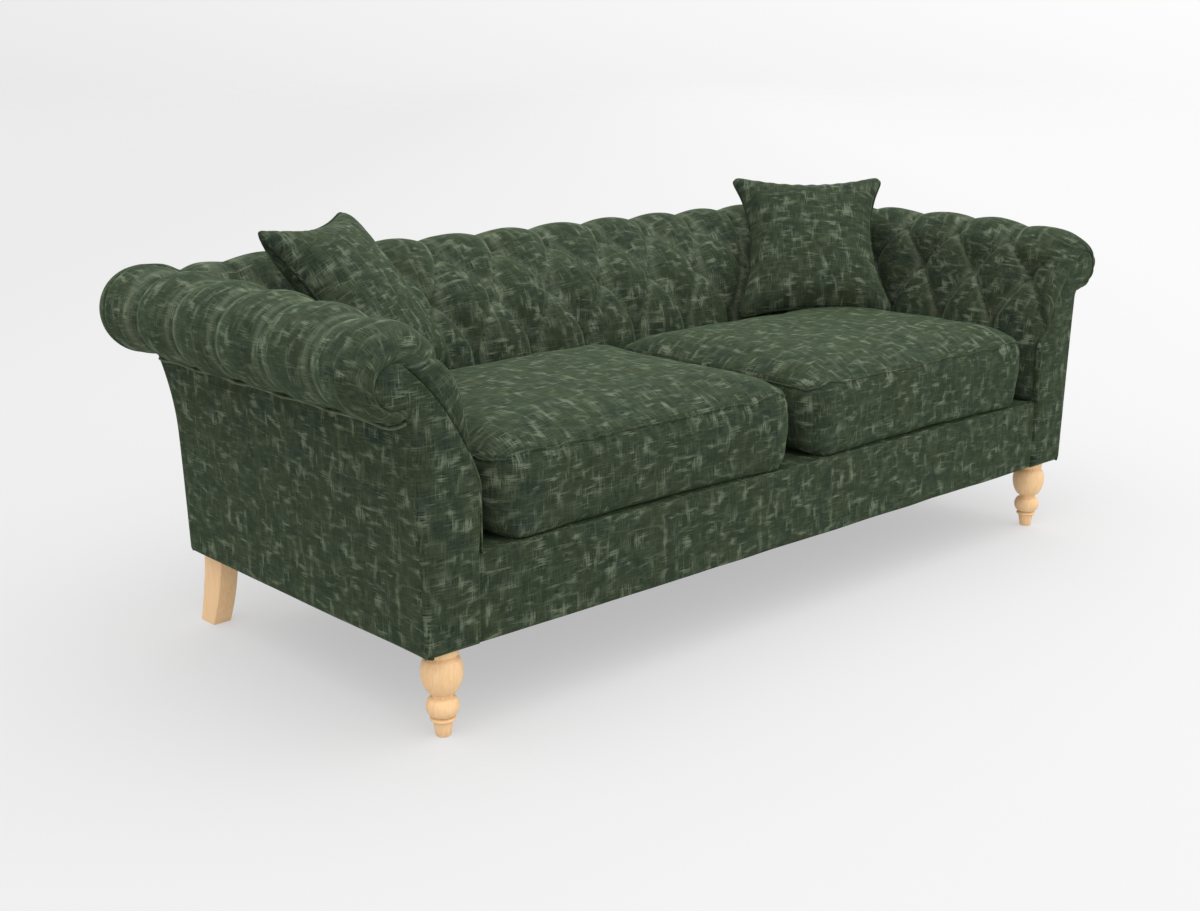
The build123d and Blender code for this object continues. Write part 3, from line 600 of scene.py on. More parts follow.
def tuft_line(middle, low, foot):
    """Points of the sewn line: round the roll to the top tufts, then down the face to its foot.
    The third value is the row of tufts: 0 top, 1 middle, 2 low, 3 the foot, below 0 on the roll."""
    line = []
    for step in range(ROLL_ROWS):
        angle = SEAM_ANGLE + (TOP_TUFT_ANGLE - SEAM_ANGLE) * step / ROLL_ROWS
        drawn = max(0.0, (angle - 80) / (TOP_TUFT_ANGLE - 80)) ** 2
        radius = FOLD_RADIUS - (FOLD_RADIUS - TOP_TUFT_RADIUS) * drawn
        turn = math.radians(angle)
        row = -(1 - step / ROLL_ROWS) * 3
        line.append((radius * math.cos(turn), ROLL_Z + radius * math.sin(turn), row))
    turn = math.radians(TOP_TUFT_ANGLE)
    top = (TOP_TUFT_RADIUS * math.cos(turn), ROLL_Z + TOP_TUFT_RADIUS * math.sin(turn))
    stops = [np.array(p) for p in (top, middle, low, foot)]
    slopes = [np.array((-0.643, -0.766)) * np.linalg.norm(stops[1] - stops[0])]
    slopes += [(stops[2] - stops[0]) / 2, (stops[3] - stops[1]) / 2, stops[3] - stops[2]]
    for part, count in enumerate((TUFT_ROWS, TUFT_ROWS, FOOT_ROWS)):
        for step in range(count + (part == 2)):
            t = step / count
            point = ((2 * t ** 3 - 3 * t ** 2 + 1) * stops[part] + (t ** 3 - 2 * t ** 2 + t) * slopes[part]
                     + (3 * t ** 2 - 2 * t ** 3) * stops[part + 1] + (t ** 3 - t ** 2) * slopes[part + 1])
            line.append((point[0], point[1], part + t))
    return np.array(line)


def outward(line):
    """Unit directions out of the sewn line, in its own plane."""
    along = np.gradient(line[:, :2], axis=0)
    along /= np.linalg.norm(along, axis=1)[:, None]
    return np.stack((along[:, 1], -along[:, 0]), axis=1)


def ridge_height(bay, row):
    """0 along the pleats, 1 at the middle of a puff. bay counts pleats along the piece."""
    rank = np.clip(row, 0, 2)
    return np.abs(np.sin(np.pi * (bay + rank / 2)) * np.sin(np.pi * (bay - rank / 2))) ** 0.4


def pleat_lip_sheen(bay, row):
    """Painted sheen: where the cloth is painted paler along the lips of the pleats, as light catches them.
    """
    return np.exp(-((ridge_height(bay, row) - 0.36) / 0.14) ** 2)


def puff_height(bay, row, lift, roll=ROLL_LIFT):
    """How far the stuffing stands out of the sewn line."""
    rank = np.clip(row, 0, 2)
    first, second = bay + rank / 2, bay - rank / 2
    ridge = ridge_height(bay, row)
    pit = np.abs(np.cos(np.pi * first) * np.cos(np.pi * second)) ** 9
    beyond = np.where(row < 0, -row / 0.35, np.where(row > 2, (row - 2) / 0.25, 0))
    pit = pit * np.exp(-beyond ** 2)
    on_face = np.clip((row + 0.9) / 1.2, 0, 1)
    on_face = on_face * on_face * (3 - 2 * on_face)
    crease = CREASE_LIFT * on_face
    swell = roll + (lift - CREASE_LIFT - roll) * on_face
    at_foot = np.clip(row - 2, 0, 1)
    return crease * (1 - pit) + swell * ridge * (1 - 0.4 * at_foot)


def stuffing(run, z, rank, folds, counts, lift, roll, seed):
    """Count of pleats, whole numbers at each, and height of the stuffing along one row."""
    wander = np.array([WANDER * noise.noise(Vector((v * 9, z * 9, seed))) for v in run])
    bay = np.interp(run + wander * min(1.0, abs(rank - 0.5)), folds, counts)
    height = puff_height(bay, rank, lift, roll)
    height += [UNEVENNESS * noise.noise(Vector((v * 14, z * 14, seed + 2))) for v in run]
    return bay, height


def sewn_end(sewn, out):
    """The section of a piece at one of its pleats."""
    height = puff_height(np.zeros(len(sewn)), sewn[:, 2], END_LIFT)
    return sewn[:, :2] + out * height[:, None]


def run_along(points):
    """Length along a line of points, from its first one."""
    return np.concatenate(([0], np.cumsum(np.linalg.norm(np.diff(points, axis=0), axis=1))))


back_sewn = tuft_line((-0.148, 0.626), (-0.193, 0.505), (-0.216, 0.3345))
arm_sewn = tuft_line((-0.082, 0.626), (-0.116, 0.505), (-0.137, 0.3345))
back_out, arm_out = outward(back_sewn), outward(arm_sewn)
back_end, arm_end = sewn_end(back_sewn, back_out), sewn_end(arm_sewn, arm_out)
cloth_run = run_along(back_sewn[:, :2])


def close_section(places, cloth, sewn, lining, axis):
    """Add the rows behind the stuffing, from the foot past the lining back to the seam."""
    foot, first = places[-1], places[0]
    for out, z in lining:
        share = (z - sewn[-1, 1]) / (sewn[0, 1] - sewn[-1, 1])
        row = []
        for low, high in zip(foot, first):
            point = [low[i] + (high[i] - low[i]) * share for i in range(3)]
            if axis == 1:
                point[1] = min(ROLL_Y + out, ROLL_Y - 0.004)
            else:
                point[0] = math.copysign(ROLL_X + out, low[0])
            point[2] = z
            row.append(tuple(point))
        places.append(row)
    places.append(first)
    while len(cloth) < len(places):
        cloth.append([(u, v + LINING_CLOTH) for u, v in cloth[-1]])
    return places, cloth


def stuffed_back():
    """Tables of the inside back's points, cloth and painted sheen, with the round corners at both ends."""
    straight = np.linspace(-1, 1, BACK_COLUMNS)
    corner = np.linspace(0, 1, CORNER_COLUMNS)[1:]
    inner_end = ROLL_X + np.minimum(arm_end[:, 0], 0)
    folds = (-ROLL_X,) + BACK_FOLDS + (ROLL_X,)
    counts = (-5 - CORNER_BAY,) + tuple(range(-5, 6)) + (5 + CORNER_BAY,)
    places, cloth, sheen_table = [], [], []
    for row, (out, z, rank) in enumerate(back_sewn):
        x = straight * inner_end[row]
        bay, height = stuffing(x, z, rank, folds, counts, BACK_LIFT, ROLL_LIFT, 2.0)
        corner_pleat = np.exp(-((np.abs(x) - CORNER_PLEAT) / CORNER_PLEAT_WIDTH) ** 2)
        height -= CORNER_PLEAT_DEPTH * clamp(1 - rank) * corner_pleat
        depth = out + back_out[row, 0] * height
        up = z + back_out[row, 1] * height
        line = list(zip(x, ROLL_Y + depth, up))
        line_cloth = [(v, cloth_run[row]) for v in x]
        sheen_table.append([0.0] * len(corner) + list(pleat_lip_sheen(bay, rank)) + [0.0] * len(corner))
        at_end = float(puff_height(np.array(CORNER_BAY), rank, BACK_LIFT))
        for end, sign in ((line[-1], 1), (line[0], -1)):
            turned, turned_cloth = [], []
            for share in corner:
                bay = CORNER_BAY + (1 - 2 * CORNER_BAY) * share
                height = float(puff_height(np.array(bay), rank, BACK_LIFT))
                height = at_end + (height - at_end) * min(1.0, max(0.0, out) / CORNER_BLEND)
                reach = max(0.0, out + back_out[row, 0] * height)
                angle = share * math.pi / 2
                if out <= 0:
                    turned.append(end)
                else:
                    turned.append((sign * (ROLL_X + reach * math.sin(angle)),
                                   ROLL_Y + reach * math.cos(angle), z + back_out[row, 1] * height))
                turned_cloth.append((sign * (ROLL_X + CORNER_CLOTH_RADIUS * angle), cloth_run[row]))
            if sign > 0:
                line, line_cloth = line + turned, line_cloth + turned_cloth
            else:
                line, line_cloth = turned[::-1] + line, turned_cloth[::-1] + line_cloth
        places.append(line)
        cloth.append(line_cloth)
    return *close_section(places, cloth, back_sewn, BACK_LINING, axis=1), sheen_table


def arc_through(first, middle, last):
    """Centre and radius of the circle through three points."""
    (ax, ay), (bx, by), (cx, cy) = first, middle, last
    d = 2 * (ax * (by - cy) + bx * (cy - ay) + cx * (ay - by))
    a, b, c = ax * ax + ay * ay, bx * bx + by * by, cx * cx + cy * cy
    x = (a * (by - cy) + b * (cy - ay) + c * (ay - by)) / d
    y = (a * (cx - bx) + b * (ax - cx) + c * (bx - ax)) / d
    return x, y, math.hypot(ax - x, ay - y)


SCROLL_OUT, SCROLL_Z, SCROLL_RADIUS = 0.021, 0.650, 0.039
SCROLL_FROM, SCROLL_TO = -105, 110  # angles over which the roll is gathered to the scroll
ARC_TOP, SHOULDER, EDGE_FOOT = (0.0077, 0.6866), (-0.1455, 0.460), 0.335
ARC_OUT, ARC_Z, ARC_RADIUS = arc_through(ARC_TOP, (-0.066, 0.610), SHOULDER)
EDGE_SHARES = (0, 0.3, 0.61, 1)  # places along the facing's edge of the rows of tufts and the foot
BULB = 0.66
TURN_DEPTH, TURN_DEPTH_LOSS = 0.072, 0.040  # of the rounded front, on the roll and less on the face
GATHERS, GATHER_DEPTH, LIP = 6.5, 0.008, 0.006
ROLL_DROOP, ROLL_DROOP_LENGTH = 0.022, 0.32


def facing_edge(share):
    """Inner edge of the arm's facing: an arc from the scroll down to the shoulder, then straight
    down to the hem. share is the part of the way from the scroll to the foot of the stuffing."""
    first = math.atan2(ARC_TOP[1] - ARC_Z, ARC_TOP[0] - ARC_OUT)
    last = math.atan2(SHOULDER[1] - ARC_Z, SHOULDER[0] - ARC_OUT) % (2 * math.pi)
    arc_length = (last - first) * ARC_RADIUS
    run = share * (arc_length + SHOULDER[1] - EDGE_FOOT)
    if run < arc_length:
        angle = first + run / ARC_RADIUS
        return ARC_OUT + ARC_RADIUS * math.cos(angle), ARC_Z + ARC_RADIUS * math.sin(angle)
    return SHOULDER[0], SHOULDER[1] - (run - arc_length)


def scroll_point(radius, angle):
    return SCROLL_OUT + radius * math.cos(angle), SCROLL_Z + radius * math.sin(angle)


def front_line():
    """Where each row of the inside arm ends at the facing."""
    ends = []
    for row, (out, z, rank) in enumerate(arm_sewn):
        if rank < 0:
            angle = math.radians(SCROLL_FROM + (SCROLL_TO - SCROLL_FROM) * row / ROLL_ROWS)
            ends.append(scroll_point(SCROLL_RADIUS, angle))
        else:
            edge, height = facing_edge(np.interp(rank, (0, 1, 2, 3), EDGE_SHARES))
            ends.append((edge - 0.004 * min(1.0, rank * 4), height))
    return np.array(ends)


def stuffed_arm(sign, seed):
    """Tables of an inside arm's points, cloth and painted sheen, from the facing round to the rear corner.
    """
    ends = front_line()
    start = FRONT + 0.002
    turns = np.linspace(0, math.pi / 2, TURN_COLUMNS)
    gather = np.sin(turns) * np.cos(turns) * 2
    lip = np.sin(turns) ** 0.5 * np.cos(turns) ** 2
    inner_end = ROLL_Y + np.minimum(back_end[:, 0], 0)
    counts = (0, 1, 2, 3, 4, 5, 5 + CORNER_BAY)
    places, cloth, sheen_table = [], [], []
    for row, (out, z, rank) in enumerate(arm_sewn):
        turn_end = start + (TURN_DEPTH - TURN_DEPTH_LOSS * clamp(rank))
        y_turn = start + (turn_end - start) * (1 - np.clip(np.cos(turns), 0, 1) ** BULB)
        y_run = np.linspace(turn_end, inner_end[row], ARM_COLUMNS)[1:]
        y = np.concatenate((y_turn, y_run))
        inward = np.concatenate((np.sin(turns) ** BULB, np.ones(len(y_run))))
        bay, height = stuffing(y, z, rank, ARM_FOLDS, counts, ARM_LIFT, ARM_ROLL_LIFT, seed)
        last_pleat = np.exp(-((y - ARM_FOLDS[-2]) / LAST_PLEAT_WIDTH) ** 2)
        height -= LAST_PLEAT_DEPTH * clamp(1 - rank) * last_pleat
        full = np.stack((out + arm_out[row, 0] * height, z + arm_out[row, 1] * height), axis=1)
        near_front = 1 - np.clip((y - start) / ROLL_DROOP_LENGTH, 0, 1)
        on_top = np.clip((full[:, 1] - ROLL_Z + 0.02) / 0.08, 0, 1)
        full[:, 1] -= ROLL_DROOP * near_front ** 1.5 * on_top
        section = ends[row] + (full - ends[row]) * inward[:, None]
        pleat = abs(math.cos(row / ROLL_ROWS * math.pi * GATHERS)) ** 0.6 if rank < 0 else 0.6
        y[:len(turns)] += gather * GATHER_DEPTH * (1 - pleat) - LIP * lip
        line = np.column_stack((ROLL_X + section[:, 0], y, section[:, 1]))
        line = np.vstack(((ROLL_X + ends[row, 0], FRONT + 0.016, ends[row, 1]), line))
        run = run_along(line)
        run += y[len(turns)] - run[len(turns) + 1]
        places.append([(sign * x, v, b) for x, v, b in line])
        cloth.append([(v, cloth_run[row]) for v in run])
        sheen_table.append([0.0] + list(pleat_lip_sheen(bay, rank) * (y > turn_end)))
    return *close_section(places, cloth, arm_sewn, ARM_LINING, axis=0), sheen_table


inside_back = grid_piece("inside_back_tufted", *stuffed_back())
close_piece(inside_back)
dress(inside_back, green_chenille, "sofa", ["inside_back"])
for side, sign in SIDES:
    arm = grid_piece("inside_arm_" + side + "_tufted", *stuffed_arm(sign, 3.0 + sign))
    close_piece(arm)
    dress(arm, green_chenille, "sofa", ["inside_arm_" + side])


# Arm facings: a keyhole panel of wadded cloth on the front of each arm, round at the top where
# the roll's pleats are gathered to it, sewn in by hand along its edge.
FACING_RIM, FACING_CROWN, FACING_BACK = 0.009, 0.0045, 0.0132
NECK_TOP, SCROLL_FOOT = 0.583, 0.632  # where the outer and the inner edge meet the scroll
NECK_POINTS, SCROLL_POINTS = 44, 31  # along each edge of a facing
SCROLL_EASE, EDGE_EASE = 0.0015, 0.0045  # the facing overlaps the stuffing by this much


def even_points(points, count):
    """The same line with its points at even spacing."""
    points = np.array(points)
    run = run_along(points)
    return np.column_stack([np.interp(np.linspace(0, run[-1], count), run, points[:, i]) for i in (0, 1)])


def facing_sides():
    """Outer and inner edges of a facing from the hem to the top of its scroll, as distance outside
    the roll's centre and height. Points of the same number face each other."""
    neck = [(arm_line(z) - 0.001, z) for z in np.linspace(HEM, NECK_TOP, 22)]
    scroll = [scroll_point(SCROLL_RADIUS + SCROLL_EASE, turn)
              for turn in np.radians(np.linspace(-110, 110, SCROLL_POINTS))]
    shares = np.linspace(0, 1, 60)
    edge = [facing_edge(share) for share in shares]
    edge = [(out - EDGE_EASE * min(1.0, share * 8) * min(1.0, (1 - share) * 6), z + 0.001)
            for share, (out, z) in zip(shares, edge)]
    upper = [point for point in edge if point[1] > SCROLL_FOOT]
    lower = edge[len(upper) - 1:] + [(SHOULDER[0], 0.32), (SHOULDER[0], HEM)]
    outer = np.vstack((even_points(neck + scroll[:1], NECK_POINTS), even_points(scroll, SCROLL_POINTS)[1:]))
    inner = np.vstack((even_points(lower[::-1], NECK_POINTS), even_points(upper[::-1], SCROLL_POINTS)[1:]))
    return outer, inner


def facing_panel(name, sign):
    outer, inner = facing_sides()
    spread = (1 - np.cos(np.linspace(0, math.pi, 25))) / 2
    rows = []
    for first, last in zip(outer, inner):
        width = np.linalg.norm(last - first)
        row = [(sign * (ROLL_X + first[0]), FRONT + FACING_BACK, first[1])]
        for share in spread:
            out, z = first + (last - first) * share
            near = min(min(share, 1 - share) * width, z - HEM)
            rim = min(1.0, near / FACING_RIM)
            forward = FACING_CROWN * min(1.0, near / 0.06) ** 0.7
            set_back = FACING_RIM * (1 - math.sqrt(1 - (1 - rim) ** 2))
            row.append((sign * (ROLL_X + out), FRONT + 0.002 + set_back - forward, z))
        row.append((sign * (ROLL_X + last[0]), FRONT + FACING_BACK, last[1]))
        rows.append(row)
    rows.insert(0, [(x, FRONT + FACING_BACK, z) for x, y, z in rows[0]])
    cloth = [[(x, z) for x, y, z in row] for row in rows]
    panel = grid_piece(name, rows, cloth)
    close_piece(panel)
    return panel


for side, sign in SIDES:
    panel = facing_panel("arm_facing_" + side + "_panel", sign)
    dress(panel, green_chenille, "sofa", ["arm_facing_" + side])


# Welt under the rolls: a thin cord covered in the same cloth, sewn in along the seam between the
# rolls and the outside panels, from one arm's front round the back to the other.
def add_object(name, data):
    """A new object, active and selected alone."""
    piece = bpy.data.objects.new(name, data)
    bpy.context.scene.collection.objects.link(piece)
    bpy.ops.object.select_all(action="DESELECT")
    bpy.context.view_layer.objects.active = piece
    piece.select_set(True)
    return piece


def piping(name, points, radius, closed=True):
    """A covered cord sewn along a seam: a tube through points on the surface."""
    curve = bpy.data.curves.new(name, "CURVE")
    adjust(curve, {
        "dimensions": "3D", "bevel_depth": radius, "bevel_resolution": 2, "use_fill_caps": not closed})
    spline = curve.splines.new("POLY")
    spline.points.add(len(points) - 1)
    for target, point in zip(spline.points, points):
        target.co = (*point, 1)
    spline.use_cyclic_u = closed
    add_object(name, curve)
    bpy.ops.object.convert(target="MESH")
    cord = bpy.context.object
    finish_smooth(cord)
    return cord


WELT_HEIGHT, WELT_RADIUS, WELT_WAVE = 0.5655, 0.0032, 0.004
# The last number on the next line is a painted highlight that lightens the whole welt.
WELT_CORNER, WELT_PROUD, WELT_SHEEN = 0.012, 0.001, 1.8
WELT_CURL, WELT_CURL_LENGTH = 0.024, 0.07  # it rises to the scroll at the front


def welt_line():
    side_x = ROLL_X + (arm_line(WELT_HEIGHT) + WELT_PROUD)
    rear = ROLL_Y + (back_line(WELT_HEIGHT) + WELT_PROUD)
    arm_side = []
    for y in np.linspace(FRONT + 0.014, rear - WELT_CORNER, 150):
        bay = np.interp(y, ARM_FOLDS, range(len(ARM_FOLDS)))
        curl = WELT_CURL * max(0.0, 1 - (y - FRONT) / WELT_CURL_LENGTH) ** 2
        arm_side.append((-side_x, y, WELT_HEIGHT + WELT_WAVE * abs(math.cos(math.pi * bay)) + curl))
    back_side = [(x, rear, WELT_HEIGHT + WELT_WAVE * abs(math.cos(math.pi * x / BACK_PITCH)))
                 for x in np.linspace(WELT_CORNER - side_x, side_x - WELT_CORNER, 240)]
    return arm_side + back_side + [(-x, y, z) for x, y, z in arm_side[::-1]]


welt = piping("roll_welt", welt_line(), WELT_RADIUS, closed=False)
metric_uv(welt)
# Painted highlight: the whole welt is painted paler, to lift it out of the shade under the roll.
paint_sheen(welt.data, np.full(len(welt.data.vertices), WELT_SHEEN, np.float32))
dress(welt, green_chenille, "sofa")


# Seat cushions: loose boxed cushions of foam and fibre in the green cloth, crowned on top, soft
# at the lower edges, with a self-piped seam round the top. They lie on the platform.
SEAM_HEIGHT, SEAM_CORNER, SEAM_DEPTH, SEAM_REACH, SEAM_RADIUS = 0.494, 0.045, 0.0035, 0.009, 0.0028
CUSHION_FOOT = 0.3345
FRONT_EDGE_Y, FRONT_EDGE_Z = -0.39, 0.40  # the lower front edge is squared outside these
FRONT_EDGE_DEPTH, FRONT_EDGE_HEIGHT, SQUARENESS = 0.06, 0.065, 6
FORWARD, FORWARD_FROM, FORWARD_LENGTH = 0.018, -0.30, 0.14  # the front is filled out by this much
FILLED_HALF, FILLED_FADE = 0.41, 0.07  # both fade out towards the cushion's sides


def point_table(mesh):
    return np.array([vertex.co for vertex in mesh.vertices])


def move_points(mesh, places):
    mesh.vertices.foreach_set("co", places.astype(np.float32).ravel())
    mesh.update()


def swollen(name, node, voxel, cap, pressure):
    """Copy a cushion's filling, remesh it, and let the cloth round it swell a little."""
    mesh = nodes[node].data.copy()
    mesh.materials.clear()
    cushion = add_object(name, mesh)
    edit_all()
    bpy.ops.mesh.remove_doubles(threshold=0.0001)
    bpy.ops.object.mode_set(mode="OBJECT")
    apply_modifier(cushion, "even_mesh", "REMESH", mode="VOXEL", voxel_size=voxel)
    apply_modifier(cushion, "settle", "SMOOTH", iterations=4)
    blow_up(cushion, cap, pressure, steps=20)
    return cushion


def fill_with_air(cushion, cap, pressure, steps):
    """Cloth under pressure for a few steps, each point held within cap of where it began."""
    scene = bpy.context.scene
    start = point_table(cushion.data)
    cloth = cushion.modifiers.new("swell", "CLOTH")
    adjust(cloth.settings, {
        "quality": 4, "mass": 0.3, "use_pressure": True, "uniform_pressure_force": pressure,
        "tension_stiffness": 15, "compression_stiffness": 15, "bending_stiffness": 0.5})
    cloth.settings.effector_weights.gravity = 0
    cloth.point_cache.frame_start = 1
    cloth.point_cache.frame_end = steps
    for step in range(1, steps + 1):
        scene.frame_set(step)
    swollen_mesh = cushion.evaluated_get(bpy.context.evaluated_depsgraph_get()).data
    move = point_table(swollen_mesh) - start
    length = np.linalg.norm(move, axis=1)
    limit = np.minimum(1, cap / np.maximum(length, 1e-9))
    cushion.modifiers.remove(cloth)
    scene.frame_set(1)
    move_points(cushion.data, start + move * limit[:, None])


def blow_up(cushion, cap, pressure, steps):
    """Let a cushion's cloth swell, and divide it finer."""
    fill_with_air(cushion, cap, pressure, steps)
    apply_modifier(cushion, "finer", "SUBSURF", levels=1, render_levels=1)
    finish_smooth(cushion)


def seam_loop(low, high, z, corner, count):
    """Even points round a rectangle with round corners, at one height."""
    points = []
    middle = Vector(((low.x + high.x) / 2, (low.y + high.y) / 2, z))
    half_x, half_y = (high.x - low.x) / 2 - corner, (high.y - low.y) / 2 - corner
    for step in range(count):
        angle = 2 * math.pi * step / count
        direction = Vector((math.cos(angle), math.sin(angle)))
        reach = 1 / max(abs(direction.x) / (half_x + corner), abs(direction.y) / (half_y + corner))
        spot = direction * reach
        inner = Vector((max(-half_x, min(half_x, spot.x)), max(-half_y, min(half_y, spot.y))))
        outer = spot - inner
        if outer.length > corner:
            spot = inner + outer.normalized() * corner
        points.append(middle + Vector((spot.x, spot.y, 0)))
    return points


def draw_in(cushion, seam, depth, reach):
    """Pull the surface in along a seam."""
    places = point_table(cushion.data)
    outwards = np.array([vertex.normal for vertex in cushion.data.vertices])
    stitches = np.array([tuple(point) for point in seam])
    for vertex in np.nonzero(np.abs(places[:, 2] - stitches[0, 2]) < 4 * reach)[0]:
        near = np.min(np.linalg.norm(stitches - places[vertex], axis=1))
        places[vertex] -= outwards[vertex] * depth * math.exp(-(near / reach) ** 2)
    move_points(cushion.data, places)


def fill_front(cushion, middle):
    """Square the lower front edge and push the front forward, between the cushion's sides."""
    for vertex in cushion.data.vertices:
        inner = clamp((FILLED_HALF - abs(vertex.co.x - middle)) / FILLED_FADE)
        ahead = (FRONT_EDGE_Y - vertex.co.y) / FRONT_EDGE_DEPTH
        below = (FRONT_EDGE_Z - vertex.co.z) / FRONT_EDGE_HEIGHT
        if ahead > 0 and below > 0:
            square = (ahead ** SQUARENESS + below ** SQUARENESS) ** (1 / SQUARENESS)
            squarer = math.hypot(ahead, below) / square
            grown = 1 + (squarer - 1) * inner
            vertex.co.y = FRONT_EDGE_Y - FRONT_EDGE_DEPTH * ahead * grown
            vertex.co.z = FRONT_EDGE_Z - FRONT_EDGE_HEIGHT * below * grown
        vertex.co.y -= FORWARD * clamp((FORWARD_FROM - vertex.co.y) / FORWARD_LENGTH) * inner


def own_copy(piece, name):
    """A copy of a piece with a mesh of its own."""
    copy = piece.copy()
    copy.data = piece.data.copy()
    copy.name = name
    bpy.context.scene.collection.objects.link(copy)
    return copy


def on_surface(piece, points):
    """The places on a piece's surface that are nearest to some points."""
    surface = BVHTree.FromObject(piece, bpy.context.evaluated_depsgraph_get())
    return [surface.find_nearest(point)[0] for point in points]


right_cushion = swollen(
    "seat_cushion_right_filled", "seat_cushion_right_core", voxel=0.012, cap=0.011, pressure=4.0)
left_cushion = own_copy(right_cushion, "seat_cushion_left_filled")
left_cushion.data.transform(Matrix.Scale(-1, 4, (1, 0, 0)))
left_cushion.data.flip_normals()
for side, cushion, seed in (("right", right_cushion, 17.0), ("left", left_cushion, 11.0)):
    body = "seat_cushion_" + side
    low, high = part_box(body + "_cover")
    seam = on_surface(cushion, seam_loop(low, high, SEAM_HEIGHT, SEAM_CORNER, 240))
    draw_in(cushion, seam, SEAM_DEPTH, SEAM_REACH)
    fill_front(cushion, (low.x + high.x) / 2)
    soften(cushion, amount=0.0035, size=0.11, seed=seed)
    for vertex in cushion.data.vertices:
        vertex.co.z = max(vertex.co.z, CUSHION_FOOT)
    metric_uv(cushion)
    dress(cushion, green_chenille, body, [body + "_cover", body + "_core"])
    welt = piping(body + "_seam", on_surface(cushion, seam), SEAM_RADIUS)
    metric_uv(welt)
    dress(welt, green_chenille, body)


# Scatter cushions: square feather cushions in the same cloth, sewn from two squares with a
# piped edge, so that the sides draw in and the corners stand out as ears.
SCATTER_HALF = 0.214  # half the side of a square of cloth
SCATTER_DRAW_IN, SCATTER_WAIST = 0.036, 0.050  # how far the top edge and the sides draw in
SCATTER_RISE, SCATTER_REAR = 0.068, 0.75  # of the front's middle, and the rear's share of it
SCATTER_DROOP, SCATTER_INNER_DROOP = 0.014, 0.034  # of the lower corners
SCATTER_EAR, SCATTER_PUCKER = 0.105, 0.0035  # rounding of the ears, depth of the edge's puckers
SCATTER_LEAN, SCATTER_PIPING = 38, 0.0034  # degrees from upright, radius of the cord


def sewn_squares(name):
    """Two squares of cloth sewn together at their edges and filled, lying in X and Y."""
    cushion = new_grid(name, 64, 64, size=2)
    for vertex in cushion.data.vertices:
        x, y = vertex.co.x, vertex.co.y
        rise = max(0.0, (1 - x * x) * (1 - y * y))
        pucker = (math.sin(x * 38) * (1 - abs(x)) * abs(y) ** 8
                  + math.sin(y * 38) * (1 - abs(y)) * abs(x) ** 8)
        lift = SCATTER_RISE * rise ** 0.48 + SCATTER_PUCKER * pucker * (rise > 0)
        ear = 1 - SCATTER_EAR * abs(x * y) ** 11
        draw_in_there = SCATTER_DRAW_IN * (1 - x * x) * (1 if y > 0 else 0.3)
        vertex.co = (ear * x * (SCATTER_HALF - SCATTER_WAIST * (1 - y * y)),
                     ear * y * (SCATTER_HALF - draw_in_there), lift)
    edit_all()
    bpy.ops.mesh.duplicate()
    bpy.ops.transform.resize(value=(1, 1, -SCATTER_REAR), center_override=(0, 0, 0))
    bpy.ops.mesh.select_all(action="SELECT")
    bpy.ops.mesh.remove_doubles(threshold=0.0004)
    face_outwards()
    return cushion


def scatter_cushion(name):
    cushion = sewn_squares(name)
    places = [vertex.co for vertex in cushion.data.vertices]
    edge = [index for index, place in enumerate(places) if abs(place.z) < 0.0002]
    edge.sort(key=lambda index: math.atan2(places[index].y, places[index].x))
    blow_up(cushion, cap=0.009, pressure=4.0, steps=16)
    return cushion, edge


scatter_model, scatter_edge = scatter_cushion("scatter_cushion_right_filled")
scatter_uv = scatter_model.data.uv_layers.active or scatter_model.data.uv_layers.new(name="cloth")
for loop in scatter_model.data.loops:
    place = scatter_model.data.vertices[loop.vertex_index].co
    scatter_uv.data[loop.index].uv = (place.x + 0.3, place.y)
dark_piping = slub_cloth("piping_cloth", shade=0.6)
scatter_copy = own_copy(scatter_model, "scatter_cushion_left_filled")
for side, turn, cushion in (("right", -42, scatter_model), ("left", 32, scatter_copy)):
    body = "scatter_cushion_" + side
    low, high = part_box(body + "_cover")
    pose = (Matrix.Translation((low + high) / 2) @ Matrix.Rotation(math.radians(turn), 4, "Z")
            @ Matrix.Rotation(math.radians(90 - SCATTER_LEAN), 4, "X"))
    cushion.data.transform(pose)
    turned_back = pose.inverted()
    for vertex in cushion.data.vertices:
        local = turned_back @ vertex.co
        across, down = local.x / SCATTER_HALF, max(0.0, -local.y / SCATTER_HALF)
        droop = SCATTER_INNER_DROOP if across * turn > 0 else SCATTER_DROOP
        vertex.co.z -= droop * abs(across) ** 3 * down ** 2
    cushion.data.update()
    corners = [cushion.data.vertices[index].co.copy() for index in scatter_edge]
    edge = piping(body + "_piping", corners, SCATTER_PIPING)
    metric_uv(edge)
    dress(cushion, green_chenille, body, [body + "_cover", body + "_core"])
    dress(edge, dark_piping, body)


# Studio: a pale floor, a soft bright sky and one broad lamp overhead, and the camera at the
# photograph's height and angle.
FLOOR_FADE_FROM, FLOOR_FADE_TO = 7.0, 60.0  # the floor passes into the sky between these distances
bpy.ops.mesh.primitive_plane_add(size=600, location=(0, 0, 0))
floor = bpy.context.object
floor.name = "studio_floor"
pale_floor, floor_tree, floor_shader = new_material("pale_floor")
floor_place = object_place(floor_tree)
floor_aside = add_node(floor_tree, "Mapping", {
    "Vector": floor_place, "Rotation": (0, 0, math.radians(42.5)), "Location": (0.5, 0, 0),
    "Scale": (0.16, 0.16, 0.16)})
floor_split = add_node(floor_tree, "SeparateXYZ", {"Vector": floor_aside.outputs["Vector"]})
floor_tone = two_tones(floor_tree, floor_split.outputs["X"], 0.0, (0.2445,) * 3, 1.0, (0.281,) * 3)
floor_far = add_node(floor_tree, "VectorMath", {0: floor_place}, operation="LENGTH")
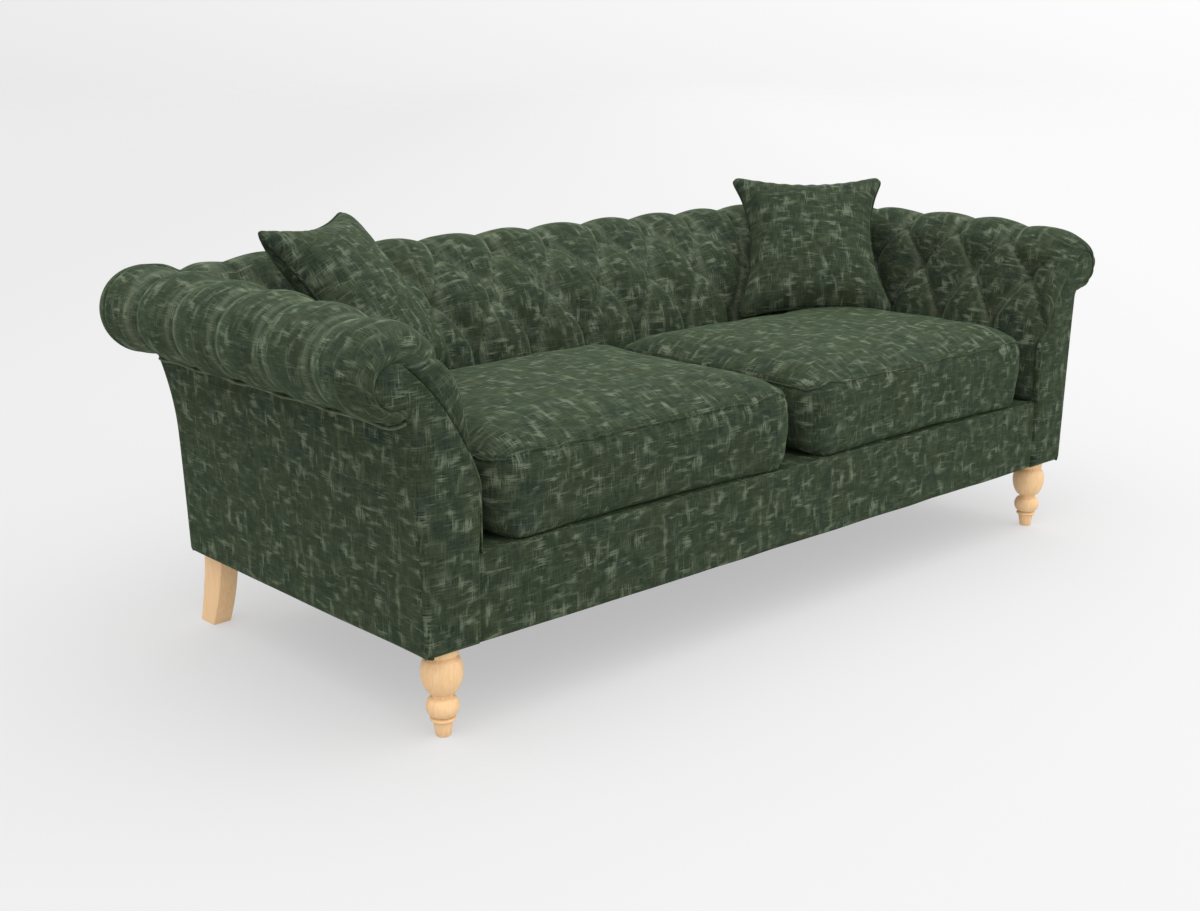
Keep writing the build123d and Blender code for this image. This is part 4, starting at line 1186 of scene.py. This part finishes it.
floor_end = add_node(floor_tree, "MapRange", {
    "Value": floor_far.outputs["Value"], "From Min": FLOOR_FADE_FROM, "From Max": FLOOR_FADE_TO,
    "To Min": 1.0, "To Max": 0.0}, interpolation_type="SMOOTHSTEP")
feed(floor_tree, floor_shader, {
    "Base Color": floor_tone, "Emission Color": floor_tone, "Emission Strength": 1.7,
    "Alpha": floor_end.outputs["Result"], "Roughness": 1.0, "Specular IOR Level": 0.0})
floor.data.materials.append(pale_floor)

sky = bpy.data.worlds.new("studio_sky")
bpy.context.scene.world = sky
sky.use_nodes = True
sky_tree = sky.node_tree


def sky_sum(operation, *values):
    return add_node(sky_tree, "Math", dict(enumerate(values)), operation=operation).outputs["Value"]


def sky_towards(x, y, z):
    """How far a place in the sky lies towards a direction."""
    node = add_node(sky_tree, "VectorMath", {0: sky_place, 1: (x, y, z)}, operation="DOT_PRODUCT")
    return node.outputs["Value"]


sky_place = add_node(sky_tree, "TexCoord", {}).outputs["Generated"]
sky_split = add_node(sky_tree, "SeparateXYZ", {"Vector": sky_place})
brighter_above = sky_sum("MULTIPLY_ADD", sky_split.outputs["Z"], 0.6, 0.9)
overall = sky_sum("ADD", brighter_above, sky_towards(0.15, -0.137, 0.0))
upper_front = sky_sum("POWER", sky_sum("MAXIMUM", sky_towards(-0.22, -0.50, 0.84), 0.0), 2.0)
feed(sky_tree, sky_tree.nodes["Background"], {
    "Color": (1, 1, 1, 1), "Strength": sky_sum("ADD", upper_front, overall)})

overhead = bpy.data.objects.new("overhead_lamp", bpy.data.lights.new("overhead_lamp", "AREA"))
adjust(overhead.data, {"shape": "RECTANGLE", "size": 4.5, "size_y": 3.5, "energy": 14})
overhead.location = (-0.2, -0.4, 3.6)
bpy.context.scene.collection.objects.link(overhead)

camera = bpy.data.objects.new("camera", bpy.data.cameras.new("camera"))
camera.location = (-2.42095, -2.48540, 1.17528)
aim = Vector((-0.11770, 0.02375, 0.27600)) - camera.location
camera.rotation_euler = aim.to_track_quat("-Z", "Y").to_euler()
camera.data.sensor_width = 36
camera.data.lens = 46.52
bpy.context.scene.collection.objects.link(camera)
bpy.context.scene.camera = camera
bpy.context.scene.view_settings.view_transform = "Standard"
